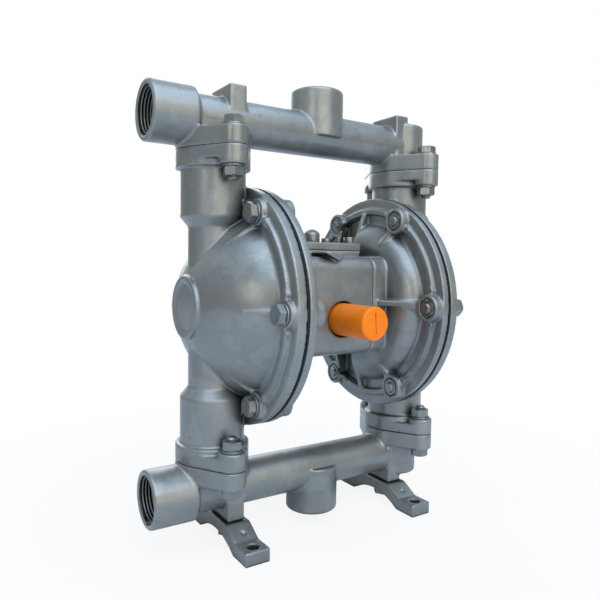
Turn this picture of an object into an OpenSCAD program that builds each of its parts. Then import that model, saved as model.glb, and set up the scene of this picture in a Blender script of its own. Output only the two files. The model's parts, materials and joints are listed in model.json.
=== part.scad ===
// Air-operated double-diaphragm pump, 1 inch class, cast aluminium.
// X runs along the pump shaft and both manifolds, the open ports point to -X, the front is -Y.
// The origin is the centre of the four foot holes, on the plane that the feet stand on.

/* [Layout] */
// Height of the shaft axis above the floor
axis_z = 177; // [176:0.5:182]
// Distance from the shaft axis to each manifold pipe axis
manifold_rise = 135; // [134:0.5:138]
// Distance from the pump's middle to each vertical fluid tube axis
tube_x = 90; // [89.5:0.5:92]
// Distance from the pump's middle to each pad and foot bracket
pad_x = 77.5; // [77:0.5:80]

/* [Manifold] */
// Outer diameter of the port boss and of the closed end
port_d = 42; // [40:0.5:44]
// Distance from the pump's middle to the port face
port_x = 141; // [136:1:150]
// Length of the fat port boss
port_len = 32.5; // [30:0.5:38]
// Major diameter of the port thread
port_thread_d = 33.25; // [30:0.25:36]
// Depth of the port thread
port_thread_len = 20; // [16:1:26]
// Outer diameter of the pipe between the elbows
pipe_d = 33.5; // [32:0.5:38]
// Wall of the pipe and of the elbows
pipe_wall = 4.5; // [3.5:0.5:5.5]
// Diameter of the upright closed end of the manifold
end_d = 38.8; // [36:0.4:42]
// Height of the closed end above the pipe axis
end_rise = 18; // [17.5:0.5:22]
// Diameter of the closed boss at mid length
boss_d = 42; // [36:1:46]
// Height of the closed boss above the pipe axis
boss_rise = 34; // [28:1:40]
// Width of the pad block along the pipe
pad_w = 13.5; // [12:0.5:18]
// Length of the pad block across the pipe
pad_len = 32; // [30:1:36]
// Height of the pad face from the pipe axis
pad_rise = 24; // [22:0.5:26]

/* [Flanged joints] */
// Outer diameter of the valve barrels and elbows
barrel_d = 47.3; // [46:0.1:49]
// Outer diameter of the round flanges
flange_d = 54; // [52:0.5:56]
// Thickness of each flange
flange_t = 13; // [10:0.5:14]
// Distance from the shaft axis to the joint face
joint_rise = 112; // [111:0.5:113]
// Distance from the tube axis to each flange bolt
ear_y = 33; // [32:0.5:35]
// Radius of the bolt ears
ear_r = 10; // [9:0.1:10.5]

/* [Fluid caps] */
// Radius of the clamped rims
rim_r = 88.5; // [87.5:0.5:91]
// Thickness of the rim of a fluid cap
cap_rim_t = 7.2; // [6:0.2:9]
// Height of the spherical dome above the rim
dome_rise = 41.8; // [41:0.2:43]
// Wall of the dome
dome_wall = 5; // [4:0.5:6]
// Distance from the pump's middle to the flat disc on the dome
disc_x = 113; // [112.5:0.5:115]
// Diameter of that disc
disc_d = 46.4; // [42:0.4:50]
// Outer diameter of the tube between the valve barrels
tube_d = 35.6; // [34:0.2:38]
// Bore of the tube
tube_bore_d = 26; // [22:0.5:28]
// Half length of the tube between the valve barrels
tube_half = 58; // [54:1:62]
// Length of the cone from tube to barrel
cone_len = 7; // [5:0.5:10]

/* [Air chambers] */
// Distance from the pump's middle to the diaphragm seam
seam_x = 63.7; // [63:0.1:65]
// Thickness of the diaphragm rim in the seam
seam_t = 1.8; // [1.4:0.1:2.4]
// Thickness of the rim of an air chamber
chamber_rim_t = 6; // [5:0.5:7]
// Distance from the pump's middle to the outside of the chamber floor
floor_x = 43; // [42:0.5:44]
// Wall of an air chamber
chamber_wall = 5; // [4:0.5:5.5]
// Corner radius of the chamber outside
chamber_round = 20; // [18:0.5:22]
// Distance from the bolt circle in to the foot of the dished wall
bowl_edge = 10.7; // [10:0.1:11.5]
// Thickness of the web above and below the hub
web_t = 3.4; // [3:0.1:4.5]

/* [Clamp bolts] */
// Number of clamp bolts around each rim
clamp_n = 6; // [6:2:8]
// Distance from the edge of the rims in to the clamp bolt circle
clamp_edge = 10.8; // [10.6:0.1:11.4]
// Diameter of the clamp and flange bolts
bolt_d = 8; // [6:1:8]
// Radius of the bolt bosses on the fluid caps
bolt_boss_r = 9.6; // [9:0.2:10]
// Height of the bolt bosses on the fluid caps
bolt_boss_h = 4.2; // [3:0.2:5]
// Radius of the nut bosses on the air chambers
nut_boss_r = 10.3; // [9.8:0.1:10.5]
// Height of the nut bosses on the air chambers
nut_boss_h = 7.4; // [7:0.1:8.5]

/* [Centre block] */
// Half length of the centre block
block_half = 29; // [28:0.5:30]
// Depth of the centre block front to back
block_y = 80; // [76:1:84]
// Height of the centre block
block_h = 76; // [74:1:80]
// Corner radius of the centre block
block_round = 10; // [6:1:12]
// Thickness of the gaskets on the centre block
gasket_t = 1; // [0.6:0.2:1.2]
// Height of the valve cover pad above the block
cover_pad_h = 4; // [3:0.5:6]
// Thickness of the valve cover
cover_t = 6.4; // [5:0.2:8]
// Diameter of the silencer
silencer_d = 24.8; // [22:0.4:28]
// Length of the silencer in front of the block
silencer_len = 38.5; // [30:0.5:50]
// Drop of the silencer axis below the shaft axis
silencer_drop = 9.5; // [8:0.5:11]
// Diameter of the air inlet thread at the back
air_thread_d = 16.66; // [13.16:0.5:20.66]
// Depth of the air inlet thread
air_thread_len = 14; // [10:1:15]

/* [Shaft and diaphragms] */
// Diameter of the shaft
shaft_d = 20; // [18:0.5:21]
// Travel of the shaft each way from the middle
stroke = 8; // [6:0.5:8.5]
// Diameter of the diaphragm plates
plate_d = 76; // [70:1:78]
// Thickness of the inner plate disc
inner_plate_t = 5.5; // [5:0.5:6]
// Thickness of the outer plate disc
outer_plate_t = 6.4; // [5:0.2:8]
// Diameter of the threaded shaft ends
stud_d = 14; // [12:1:15]

/* [Valves] */
// Diameter of the valve balls
ball_d = 30; // [28:0.5:30.5]
// Lift of a ball off its seat
ball_lift = 6.5; // [4:0.5:7]
// Hole through a valve seat
seat_hole_d = 22; // [20:0.5:23]
// Height of a valve seat
seat_h = 8; // [7:0.5:10]
// Bore of the valve barrels
barrel_bore_d = 38; // [37.5:0.1:39]
// Diameter of the air valve spool
spool_d = 14; // [12:0.5:15]
// Travel of the spool each way
spool_travel = 4; // [2:0.5:4.5]
// Diameter of the pilot pin
pilot_d = 6; // [5:0.5:7]

/* [Foot brackets] */
// Width of a foot bracket along the pipe
foot_w = 19.3; // [16:0.1:24]
// Distance from the middle to each foot hole
foot_hole_y = 42; // [41:0.5:43]
// Diameter of the foot holes
foot_hole_d = 9; // [7:0.5:10]
// Distance from the middle to the end of the foot
foot_end_y = 50; // [49:0.5:54]
// Thickness of the foot plates
foot_t = 10; // [9:0.5:11]
// Half width of the arch at the floor
arch_half = 29; // [27:0.5:30]
// Height of the arch
arch_h = 9; // [8:0.5:10]

/* [Hidden] */
$fn = 72;
// Overrun of a cut past the face that it opens
cut = 1;
// Radial running clearance of shafts, spools and pins
run = 0.04;
// Clearance of seated rings and guided balls
seat_gap = 0.15;
guide_gap = 0.25;
// Clearance of a bolt in its hole
bolt_gap = 0.5;

bolt_r = bolt_d / 2;
hex_af = bolt_d * 1.6;
hex_r = hex_af / 2 / cos(30);
head_h = bolt_d * 0.66;
nut_h = bolt_d * 0.8;
washer_r = bolt_d * 0.98;
washer_t = bolt_d * 0.18;
thread_end = bolt_d * 0.32;
// Thread left past a clamp nut, and how far that nut is sunk below its boss
clamp_end = bolt_d * 0.2;
nut_sink = 0.3;
// Gap between a nut and the hexagonal pocket that keeps it from turning
pocket_gap = 0.7;

port_r = port_d / 2;
pipe_r = pipe_d / 2;
pipe_bore_r = pipe_r - pipe_wall;
barrel_r = barrel_d / 2;
flange_r = flange_d / 2;
barrel_bore_r = barrel_bore_d / 2;
elbow_h = manifold_rise - joint_rise;
elbow_half = pipe_r - 0.4;
elbow_bore_r = barrel_bore_r - 6;
port_chamfer = 1.2;
shoulder = 1.8;
flange_hollow = 4.5;
// How far the ends of the flange webs lap into its disc and ears
flange_lap = 0.1;

cap_in_x = seam_x + seam_t / 2;
cap_rim_x = cap_in_x + cap_rim_t;
chamber_in_x = seam_x - seam_t / 2;
chamber_rim_x = chamber_in_x - chamber_rim_t;
clamp_r = rim_r - clamp_edge;
dome_base_r = clamp_r - bolt_boss_r;
dome_r = (pow(dome_base_r, 2) + pow(dome_rise, 2)) / (2 * dome_rise);
dome_centre_x = cap_rim_x + dome_rise - dome_r;
dome_inner_r = dome_r - dome_wall;

chamber_r = clamp_r - bowl_edge;
pan_centre_x = floor_x + chamber_round;
pan_flat_r = chamber_r - sqrt(pow(chamber_round, 2) - pow(pan_centre_x - chamber_rim_x, 2));
hub_x = block_half + gasket_t;

rib_h = 3;
rib_w = 5;
rib_span = 360 / clamp_n - 2 * asin((bolt_boss_r + 3) / (2 * clamp_r)) * 2;
gusset_w = 5;
fin_foot_r = 56;
fin_tip = 0.8;
fin_base = 4.2;
side_rib_t = 4.6;
side_rib_z = 2.4;

cap_seat_x = cap_rim_x + bolt_boss_h;
nut_face_x = chamber_rim_x - nut_boss_h;
nut_seat_x = nut_face_x + nut_sink + nut_h;
clamp_len = cap_seat_x + washer_t - nut_seat_x + nut_h + clamp_end;

web_y = 2.8;
web_r = clamp_r - 1.5;
pocket_r = clamp_r - 4;
pocket_z = plate_d / 2 + chamber_wall;
pocket_y = web_y + web_t / 2;
pocket_w = 27;
pocket_wall = 3.5;
pocket_floor_x = chamber_in_x - pocket_wall;

bush_r = shaft_d / 2 + 3;
bush_len = 14;
seal_len = 4;
shaft_half = chamber_in_x - inner_plate_t;
stud_end = cap_in_x + outer_plate_t + 2 + bolt_d * 1.5;
stud_nut_af = 22;
stud_nut_h = 10;

spool_z = 24;
spool_r = spool_d / 2;
sleeve_r = spool_r + 3;
spool_half = block_half - spool_travel - 1;
spool_land = 8;
port_pitch = 10;
pilot_z = -24;
pilot_r = pilot_d / 2;
pilot_follow = 0.5;
boss_drop = 3;
pad_floor = 2.5;
roll_r = 11;
roll_mid = (plate_d / 2 + dome_base_r) / 2 - 1;
pilot_half = chamber_in_x - inner_plate_t - stroke + pilot_follow * stroke - 0.4;
pilot_bush_r = pilot_r + 2;
pilot_bush_len = 10;

block_top = block_h / 2;
cover_z = block_top + cover_pad_h + gasket_t;
cover_top = cover_z + cover_t;
cover_x = block_half + 1;
cover_y = 22;
cover_screw_x = 22.5;
cover_screw_y = 16;
air_boss_h = 3;
air_way_r = 3;
exhaust_y = -28;
exhaust_tilt = atan((-exhaust_y - 9) / (spool_z + silencer_drop - 4));
exhaust_len = sqrt(pow(-exhaust_y - 9, 2) + pow(spool_z + silencer_drop - 4, 2));
screw_r = 2.5;
screw_head_r = 4.2;
screw_head_h = 4.8;
vent_x = 0;
vent_y = 5;
vent_r = 6.8;
vent_h = 6;
hub_head_h = 2.2;
hub_head_x = floor_x + chamber_wall - hub_head_h - 0.4;
hub_screw_y = 28;
hub_screw_z = 24;

seat_r = barrel_bore_r - seat_gap;
seat_lip = 0.5;
ball_r = ball_d / 2;
ball_gap = 0.2;
ball_up = sqrt(pow(ball_r, 2) - pow(seat_hole_d / 2 + seat_lip, 2)) + ball_gap;
bore_depth = joint_rise - tube_half - cone_len - 5;
cage_h = bore_depth - seat_h;
cage_wall = 1.2;
cage_rib = 2.6;
spider_z = ball_up + ball_r + ball_lift + 0.3;
seal_w = 2;

slope_y = 19.3;
slope_end_y = 33;
pad_z = axis_z - manifold_rise - pad_rise;
arch_r = (pow(arch_half, 2) + pow(arch_h, 2)) / (2 * arch_h);

casting = "silver";
steel = "gainsboro";
black = "dimgray";

// Placing helpers

// Cylinder along +X from x
module rod_x(x, len, r) {
    translate([x, 0, 0]) rotate([0, 90, 0]) cylinder(h = len, r = r);
}

// Turned shape about X: the outline's x is the radius, its y is the place along X
module turned_x() {
    rotate([0, 90, 0]) rotate_extrude() children();
}

// Pump frame, with its origin on the shaft axis
module pump() {
    translate([0, 0, axis_z]) children();
}

// The right-hand side as modelled, or its mirror image on the left
module side(s) {
    mirror([s < 0 ? 1 : 0, 0, 0]) children();
}

// One child turned to each clamp bolt, counted from the front
module clamp_turns() {
    for (i = [0 : clamp_n - 1]) rotate([i * 360 / clamp_n, 0, 0]) children();
}

// One child at each clamp bolt
module clamp_places() {
    clamp_turns() translate([0, -clamp_r, 0]) children();
}

// One child at each of the four flange bolts of a manifold
module flange_places() {
    for (sx = [-1, 1]) for (sy = [-1, 1]) translate([sx * tube_x, sy * ear_y, 0]) children();
}

// Prism along X with a rounded rectangular section
module round_bar(x, len, wy, hz, r) {
    translate([x, -wy / 2 + r, -hz / 2]) cube([len, wy - 2 * r, hz]);
    translate([x, -wy / 2, -hz / 2 + r]) cube([len, wy, hz - 2 * r]);
    for (sy = [-1, 1]) for (sz = [-1, 1])
        translate([0, sy * (wy / 2 - r), sz * (hz / 2 - r)]) rod_x(x, len, r);
}

// Outlines of a flange: its disc and two ears, and the disc and ears joined by tangent webs
module flange_rounds() {
    circle(flange_r);
    for (s = [-1, 1]) translate([0, s * ear_y]) circle(ear_r);
}

module flange_outline() {
    tip = asin((flange_r - ear_r) / ear_y);
    disc = flange_r - flange_lap;
    ear = ear_r - flange_lap;
    flange_rounds();
    for (s = [-1, 1]) scale([1, s]) polygon([
        [-disc * cos(tip), disc * sin(tip)],
        [disc * cos(tip), disc * sin(tip)],
        [ear * cos(tip), ear_y + ear * sin(tip)],
        [-ear * cos(tip), ear_y + ear * sin(tip)]
    ]);
}

// Concave fillet ring about X, in the corner of a face at x and a wall of radius r
module fillet_x(x, r, f) {
    turned_x() difference() {
        translate([r - 1, x - 1]) square([f + 1, f + 1]);
        translate([r + f, x + f]) circle(f);
    }
}

// Manifolds: the outlet manifold is modelled, and the inlet manifold is the same casting inverted

module manifold_body() {
    // Pipe, port boss with its sloped shoulder, and the upright closed end
    rod_x(-port_x + 2, port_x - 2 + tube_x, pipe_r);
    turned_x() polygon([
        [0, -port_x], [port_r - port_chamfer, -port_x], [port_r, -port_x + port_chamfer],
        [port_r, -port_x + port_len], [pipe_r, -port_x + port_len + shoulder],
        [0, -port_x + port_len + shoulder]
    ]);
    translate([tube_x, 0, -elbow_h]) {
        cylinder(h = elbow_h + end_rise - port_chamfer, r = end_d / 2);
        translate([0, 0, elbow_h + end_rise - port_chamfer])
            cylinder(h = port_chamfer, r1 = end_d / 2, r2 = end_d / 2 - port_chamfer);
    }
    // Elbows, whose walls run straight down from the pipe to the flanges
    for (s = [-1, 1]) translate([s * tube_x, 0, -elbow_h]) {
        intersection() {
            cylinder(h = elbow_h, r = barrel_r);
            translate([-barrel_r, -elbow_half, 0]) cube([barrel_d, 2 * elbow_half, elbow_h]);
        }
        linear_extrude(flange_t) flange_outline();
    }
    // Pads that carry the foot brackets
    for (s = [-1, 1]) translate([s * pad_x - pad_w / 2, -pad_len / 2, flange_t - elbow_h - 1])
        cube([pad_w, pad_len, pad_rise + elbow_h - flange_t + 1]);
    // Closed boss at mid length
    translate([0, 0, -boss_drop]) {
        cylinder(h = boss_rise + boss_drop - 1.5, r = boss_d / 2);
        translate([0, 0, boss_rise + boss_drop - 1.5])
            cylinder(h = 1.5, r1 = boss_d / 2, r2 = boss_d / 2 - 1.5);
    }
}

module manifold() {
    difference() {
        manifold_body();
        // Port thread and its chamfer
        rod_x(-port_x - cut, port_thread_len + cut, port_thread_d / 2);
        turned_x() polygon([
            [0, -port_x - cut], [port_thread_d / 2 + port_chamfer + cut, -port_x - cut],
            [port_thread_d / 2, -port_x + port_chamfer], [0, -port_x + port_chamfer]
        ]);
        // Flow passage along the pipe and up or down through each elbow
        rod_x(-port_x + 5, port_x - 5 + tube_x, pipe_bore_r);
        for (s = [-1, 1]) translate([s * tube_x, 0, -elbow_h - cut])
            cylinder(h = elbow_h + cut, r = elbow_bore_r);
        translate([tube_x, 0, 0]) sphere(elbow_bore_r);
        // Flange bolt holes
        flange_places() translate([0, 0, -elbow_h - cut])
            cylinder(h = flange_t + 2 * cut, r = bolt_r + bolt_gap);
        // Tapped hole in each pad, short of the flow passage
        for (s = [-1, 1]) translate([s * pad_x, 0, pipe_bore_r + pad_floor])
            cylinder(h = pad_rise, r = bolt_r * 0.85);
    }
}

module outlet_manifold() {
    color(casting) pump() translate([0, 0, manifold_rise]) manifold();
}

module inlet_manifold() {
    color(casting) pump() mirror([0, 0, 1]) translate([0, 0, manifold_rise]) manifold();
}

// Arched bracket across the manifold, with one foot hole at each end
module foot(s) {
    color(casting) translate([s * pad_x, 0, 0]) difference() {
        translate([-foot_w / 2, 0, 0]) rotate([90, 0, 90]) linear_extrude(foot_w) difference() {
            polygon([
                [-foot_end_y, 0], [foot_end_y, 0], [foot_end_y, foot_t], [slope_end_y, foot_t],
                [slope_y, pad_z], [-slope_y, pad_z], [-slope_end_y, foot_t], [-foot_end_y, foot_t]
            ]);
            translate([0, arch_h - arch_r]) circle(arch_r);
        }
        for (sy = [-1, 1]) translate([0, sy * foot_hole_y, -cut])
            cylinder(h = foot_t + 2 * cut, r = foot_hole_d / 2);
        translate([0, 0, -cut]) cylinder(h = pad_z + 2 * cut, r = bolt_r + bolt_gap);
        // Flat seat of the bolt head under the arch
        translate([0, 0, -cut]) cylinder(h = arch_h + cut, r = hex_r + bolt_gap);
        // Cast dimple on the front slope
        translate([0, -(slope_y + slope_end_y) / 2 - 1, (foot_t + pad_z) / 2]) sphere(1.8);
    }
}

module foot_left() {
    foot(-1);
}

module foot_right() {
    foot(1);
}

// Bolts that hold the brackets to the pads, with heads under the arches
module foot_bolts() {
    tip_z = pad_z + pad_rise - pipe_bore_r - pad_floor - 1;
    color(steel) for (s = [-1, 1]) translate([s * pad_x, 0, arch_h - head_h]) {
        cylinder(h = head_h, r = hex_r, $fn = 6);
        cylinder(h = tip_z - arch_h + head_h, r = bolt_r * 0.85 - 0.02);
    }
}

// Fluid caps: the right-hand cap is modelled

module clamp_ribs(x0, h) {
    // Raised arcs on the bolt circle, with a round nub at each end
    for (i = [0 : clamp_n - 1]) translate([x0, 0, 0]) rotate([0, 90, 0])
        rotate([0, 0, i * 360 / clamp_n - rib_span / 2]) {
            rotate_extrude(angle = rib_span) translate([clamp_r - rib_w / 2, 0]) square([rib_w, h]);
            for (a = [0, rib_span]) rotate([0, 0, a]) translate([clamp_r, 0, 0])
                cylinder(h = h + 0.8, r = rib_w / 2 + 0.8);
        }
}

// Spherical dome about X, flat at x
module dome(r, x) {
    turned_x() intersection() {
        translate([0, dome_centre_x]) circle(r);
        translate([0, x]) square(2 * r);
    }
}

module cap_outside() {
    rod_x(cap_in_x, cap_rim_t, rim_r);
    dome(dome_r, cap_in_x + 1);
    fillet_x(cap_rim_x, dome_base_r - 3, 5);
    rod_x(tube_x, disc_x - tube_x, disc_d / 2);
    clamp_ribs(cap_rim_x - 1, rib_h + 1);
    clamp_places() rod_x(cap_rim_x - 1, bolt_boss_h + 1, bolt_boss_r);
    // Gussets from the bolt bosses to the dome
    clamp_turns() translate([cap_rim_x - 1, -clamp_r, -gusset_w / 2]) cube([bolt_boss_h + 1, 22, gusset_w]);
    // Tube, valve barrels and flanges
    translate([tube_x, 0, 0]) {
        translate([0, 0, -tube_half]) cylinder(h = 2 * tube_half, r = tube_d / 2);
        for (s = [0, 1]) mirror([0, 0, s]) {
            translate([0, 0, tube_half]) cylinder(h = cone_len, r1 = tube_d / 2, r2 = barrel_r);
            translate([0, 0, tube_half + cone_len])
                cylinder(h = joint_rise - tube_half - cone_len, r = barrel_r);
            // The flange's webs are hollowed on their underside
            translate([0, 0, joint_rise - flange_t]) linear_extrude(flange_hollow + 1) flange_rounds();
            translate([0, 0, joint_rise - flange_t + flange_hollow])
                linear_extrude(flange_t - flange_hollow) flange_outline();
        }
    }
}

module fluid_cap() {
    difference() {
        cap_outside();
        dome(dome_inner_r, cap_in_x - cut);
        translate([tube_x, 0, -joint_rise - cut]) cylinder(h = 2 * joint_rise + 2 * cut, r = tube_bore_d / 2);
        for (s = [0, 1]) mirror([0, 0, s]) {
            translate([tube_x, 0, joint_rise - bore_depth]) cylinder(h = bore_depth + cut, r = barrel_bore_r);
            for (sy = [-1, 1]) translate([tube_x, sy * ear_y, joint_rise - flange_t - cut])
                cylinder(h = flange_t + 2 * cut, r = bolt_r + bolt_gap);
        }
        clamp_places() rod_x(cap_in_x - cut, cap_rim_t + bolt_boss_h + 2 * cut, bolt_r + bolt_gap);
        // Shallow dish in the disc face
        turned_x() polygon([
            [0, disc_x - 1.4], [disc_d / 2 - 5, disc_x - 1.4], [disc_d / 2 - 3, disc_x + cut], [0, disc_x + cut]
        ]);
    }
}

module fluid_cap_left() {
    color(casting) pump() side(-1) fluid_cap();
}

module fluid_cap_right() {
    color(casting) pump() side(1) fluid_cap();
}

// Air chambers: the right-hand chamber is modelled, its hub pointing to the pump's middle

module pan(round_r, x0) {
    turned_x() {
        difference() {
            translate([pan_flat_r, pan_centre_x]) circle(round_r);
            translate([-1, chamber_in_x]) square([200, 200]);
            translate([-200 + pan_flat_r, 0]) square([200, 200]);
        }
        translate([0, pan_centre_x - round_r]) square([pan_flat_r, x0 - pan_centre_x + round_r]);
    }
}

// Wedge-shaped fin from a nut boss down to the dished wall
module fin() {
    intersection() {
        rotate([90, 0, 90]) linear_extrude(chamber_in_x) polygon([
            [-clamp_r + nut_boss_r / 2, -fin_base], [-fin_foot_r, -fin_tip],
            [-fin_foot_r, fin_tip], [-clamp_r + nut_boss_r / 2, fin_base]
        ]);
        translate([0, 0, -clamp_r / 2]) linear_extrude(clamp_r) polygon([
            [nut_face_x + 0.4, -clamp_r], [nut_face_x + 0.4, -clamp_r + nut_boss_r], [floor_x + 1, -fin_foot_r],
            [chamber_rim_x, -fin_foot_r], [chamber_rim_x, -clamp_r]
        ]);
    }
}

// Rib from the front or back nut boss, over the dished wall, to the side of the hub
module side_rib() {
    translate([0, 0, side_rib_z - side_rib_t / 2]) linear_extrude(side_rib_t) polygon([
        [hub_x + 3, -block_y / 2 + 3], [hub_x + 3, -block_y / 2 - 1.3],
        [nut_face_x + 1, -clamp_r + nut_boss_r - 1], [chamber_rim_x, -clamp_r + nut_boss_r - 1],
        [chamber_rim_x, -block_y / 2 + 3]
    ]);
}

// Web that stands between the hub and the rim, above the hub
module web() {
    translate([0, web_y + web_t / 2, 0]) rotate([90, 0, 0]) linear_extrude(web_t) polygon([
        [floor_x + 0.6, block_top - 4], [floor_x + 0.6, block_top + 12], [nut_face_x + 2.5, web_r],
        [chamber_rim_x + 1, web_r], [chamber_rim_x + 1, block_top - 4]
    ]);
}

// Deep pocket beside the web, or with grow, the wall around it
module pocket(grow) {
    rotate([90, 0, 90]) linear_extrude(pocket_floor_x + grow) intersection() {
        circle(pocket_r + grow);
        translate([pocket_y - grow, pocket_z - grow]) square([pocket_w + 2 * grow, pocket_r]);
    }
}

module chamber_outside() {
    rod_x(chamber_rim_x, chamber_rim_t, rim_r);
    pan(chamber_round, chamber_in_x);
    round_bar(hub_x, floor_x + 8 - hub_x, block_y, block_h, block_round);
    translate([chamber_rim_x + 1, 0, 0]) mirror([1, 0, 0]) clamp_ribs(0, rib_h + 1);
    clamp_places() rod_x(nut_face_x, nut_boss_h + 1, nut_boss_r);
    clamp_turns() fin();
    for (sy = [0, 1]) mirror([0, sy, 0]) side_rib();
}

module air_chamber() {
    difference() {
        union() {
            difference() {
                chamber_outside();
                for (sz = [0, 1]) mirror([0, 0, sz]) pocket(0);
            }
            for (sz = [0, 1]) mirror([0, 0, sz]) web();
        }
        difference() {
            pan(chamber_round - chamber_wall, chamber_in_x + cut);
            for (sz = [0, 1]) mirror([0, 0, sz]) pocket(pocket_wall);
        }
        // Hexagonal pockets that hold the nuts
        clamp_places() translate([nut_face_x - cut, 0, 0]) rotate([0, 90, 0])
            cylinder(h = nut_seat_x - nut_face_x + cut, r = hex_r + pocket_gap, $fn = 6);
        rod_x(hub_x - cut, floor_x, shaft_d / 2 + 2);
        clamp_places() rod_x(nut_face_x, chamber_rim_t + nut_boss_h + cut, bolt_r + bolt_gap);
        // Passage for the pilot pin and clearance holes for the hub screws
        translate([0, 0, pilot_z]) rod_x(hub_x - cut, floor_x, pilot_r + 0.5);
        for (sy = [-1, 1]) for (sz = [-1, 1]) translate([0, sy * hub_screw_y, sz * hub_screw_z]) {
            rod_x(hub_x - cut, floor_x, screw_r * 1.2 + bolt_gap);
            rod_x(hub_head_x, chamber_wall, screw_head_r + bolt_gap);
        }
    }
}

module air_chamber_left() {
    color(casting) pump() side(-1) air_chamber();
}

module air_chamber_right() {
    color(casting) pump() side(1) air_chamber();
}

// Centre block with the shaft, spool and pilot bores, the exhaust port and the air inlet

module centre_block() {
    color(casting) pump() difference() {
        union() {
            round_bar(-block_half, 2 * block_half, block_y, block_h, block_round);
            translate([-block_half, -cover_y, 0]) cube([2 * block_half, 2 * cover_y, block_top + cover_pad_h]);
            // Wedge under the front of the valve pad
            translate([0, -cover_y, 0]) rotate([90, 0, 0]) linear_extrude(block_y / 2 - cover_y + 1.5) polygon([
                [-18, block_top + cover_pad_h - 0.5], [1, block_top + cover_pad_h - 0.5],
                [-3, block_top - 2], [-6, block_top - 3]
            ]);
            // Round boss of the air inlet
            translate([0, block_y / 2 - block_round, spool_z]) rotate([-90, 0, 0])
                cylinder(h = block_round + air_boss_h, r = air_thread_d / 2 + 4);
        }
        rod_x(-block_half - cut, 2 * block_half + 2 * cut, bush_r);
        translate([0, 0, spool_z]) rod_x(-block_half - cut, 2 * block_half + 2 * cut, sleeve_r);
        translate([0, 0, pilot_z]) rod_x(-block_half - cut, 2 * block_half + 2 * cut, pilot_bush_r);
        // Exhaust port with a round recess
        translate([0, -block_y / 2 - cut, -silencer_drop]) rotate([-90, 0, 0]) {
            cylinder(h = 2.5 + cut, r = silencer_d / 2 + 1.2);
            cylinder(h = 16 + cut, r = silencer_d / 2 - 3);
        }
        // Air inlet thread and its drilling to the spool
        translate([0, block_y / 2 + air_boss_h + cut, spool_z]) rotate([90, 0, 0]) {
            cylinder(h = air_thread_len + cut, r = air_thread_d / 2);
            cylinder(h = block_y / 2 + air_boss_h + cut - sleeve_r + 2, r = air_way_r);
        }
        // Slanting drilling from the spool down to the exhaust port, in front of the shaft bore
        translate([0, exhaust_y, -silencer_drop]) rotate([-exhaust_tilt, 0, 0])
            cylinder(h = exhaust_len, r = air_way_r);
        // Tapped holes of the hub screws and the cover screws
        for (sx = [-1, 1]) for (sy = [-1, 1]) {
            for (sz = [-1, 1]) translate([sx * block_half, sy * hub_screw_y, sz * hub_screw_z])
                rotate([0, -sx * 90, 0]) translate([0, 0, -cut]) cylinder(h = 12 + cut, r = screw_r * 1.2);
            translate([sx * cover_screw_x, sy * cover_screw_y, block_top + cover_pad_h - 12])
                cylinder(h = 12 + cut, r = screw_r);
        }
    }
}

module hub_gasket(s) {
    color(black) pump() side(s) difference() {
        round_bar(block_half, gasket_t, block_y, block_h, block_round);
        rod_x(block_half - cut, gasket_t + 2 * cut, bush_r);
        translate([0, 0, spool_z]) rod_x(block_half - cut, gasket_t + 2 * cut, spool_r);
        translate([0, 0, pilot_z]) rod_x(block_half - cut, gasket_t + 2 * cut, pilot_bush_r);
        for (sy = [-1, 1]) for (sz = [-1, 1]) translate([0, sy * hub_screw_y, sz * hub_screw_z])
            rod_x(block_half - cut, gasket_t + 2 * cut, screw_r * 1.2 + bolt_gap);
    }
}

module hub_gasket_left() {
    hub_gasket(-1);
}

module hub_gasket_right() {
    hub_gasket(1);
}

// Screws that hold each air chamber to the centre block, with heads inside the chamber
module hub_screws() {
    color(steel) pump() for (s = [-1, 1]) side(s) for (sy = [-1, 1]) for (sz = [-1, 1])
        translate([0, sy * hub_screw_y, sz * hub_screw_z]) {
            rod_x(block_half - 10, hub_head_x - block_half + 10, screw_r * 1.2 - 0.02);
            rod_x(hub_head_x, hub_head_h, screw_head_r);
        }
}

// Valve cover on top of the block
module valve_cover() {
    color(casting) pump() difference() {
        translate([-cover_x, -cover_y, cover_z]) cube([2 * cover_x, 2 * cover_y, cover_t]);
        for (sx = [-1, 1]) for (sy = [-1, 1]) translate([sx * cover_screw_x, sy * cover_screw_y, cover_z - cut])
            cylinder(h = cover_t + 2 * cut, r = screw_r + bolt_gap);
        translate([vent_x, vent_y, cover_z - cut]) cylinder(h = cover_t + 2 * cut, r = vent_r - 2.5);
    }
}

module valve_cover_gasket() {
    color(black) pump() difference() {
        translate([-cover_x + 0.5, -cover_y + 0.5, cover_z - gasket_t])
            cube([2 * cover_x - 1, 2 * cover_y - 1, gasket_t]);
        for (sx = [-1, 1]) for (sy = [-1, 1])
            translate([sx * cover_screw_x, sy * cover_screw_y, cover_z - gasket_t - cut])
                cylinder(h = gasket_t + 2 * cut, r = screw_r + bolt_gap);
    }
}

module valve_cover_screws() {
    color(steel) pump() for (sx = [-1, 1]) for (sy = [-1, 1])
        translate([sx * cover_screw_x, sy * cover_screw_y, cover_top]) difference() {
            union() {
                cylinder(h = screw_head_h, r = screw_head_r);
                translate([0, 0, -cover_t - gasket_t - 9])
                    cylinder(h = cover_t + gasket_t + 9, r = screw_r - 0.02);
            }
            translate([0, 0, screw_head_h - 2.4]) cylinder(h = 2.4 + cut, r = 2.3, $fn = 6);
        }
}

// Domed screw cap on the valve cover
module vent_cap() {
    color(casting) pump() translate([vent_x, vent_y, cover_top]) {
        cylinder(h = vent_h, r = vent_r);
        translate([0, 0, vent_h]) intersection() {
            translate([0, 0, 5.4 - vent_r - 0.9]) sphere(vent_r + 0.9);
            cylinder(h = 6, r = vent_r);
        }
        translate([0, 0, -cover_t]) cylinder(h = cover_t, r = vent_r - 2.5 - 0.02);
    }
}

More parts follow.
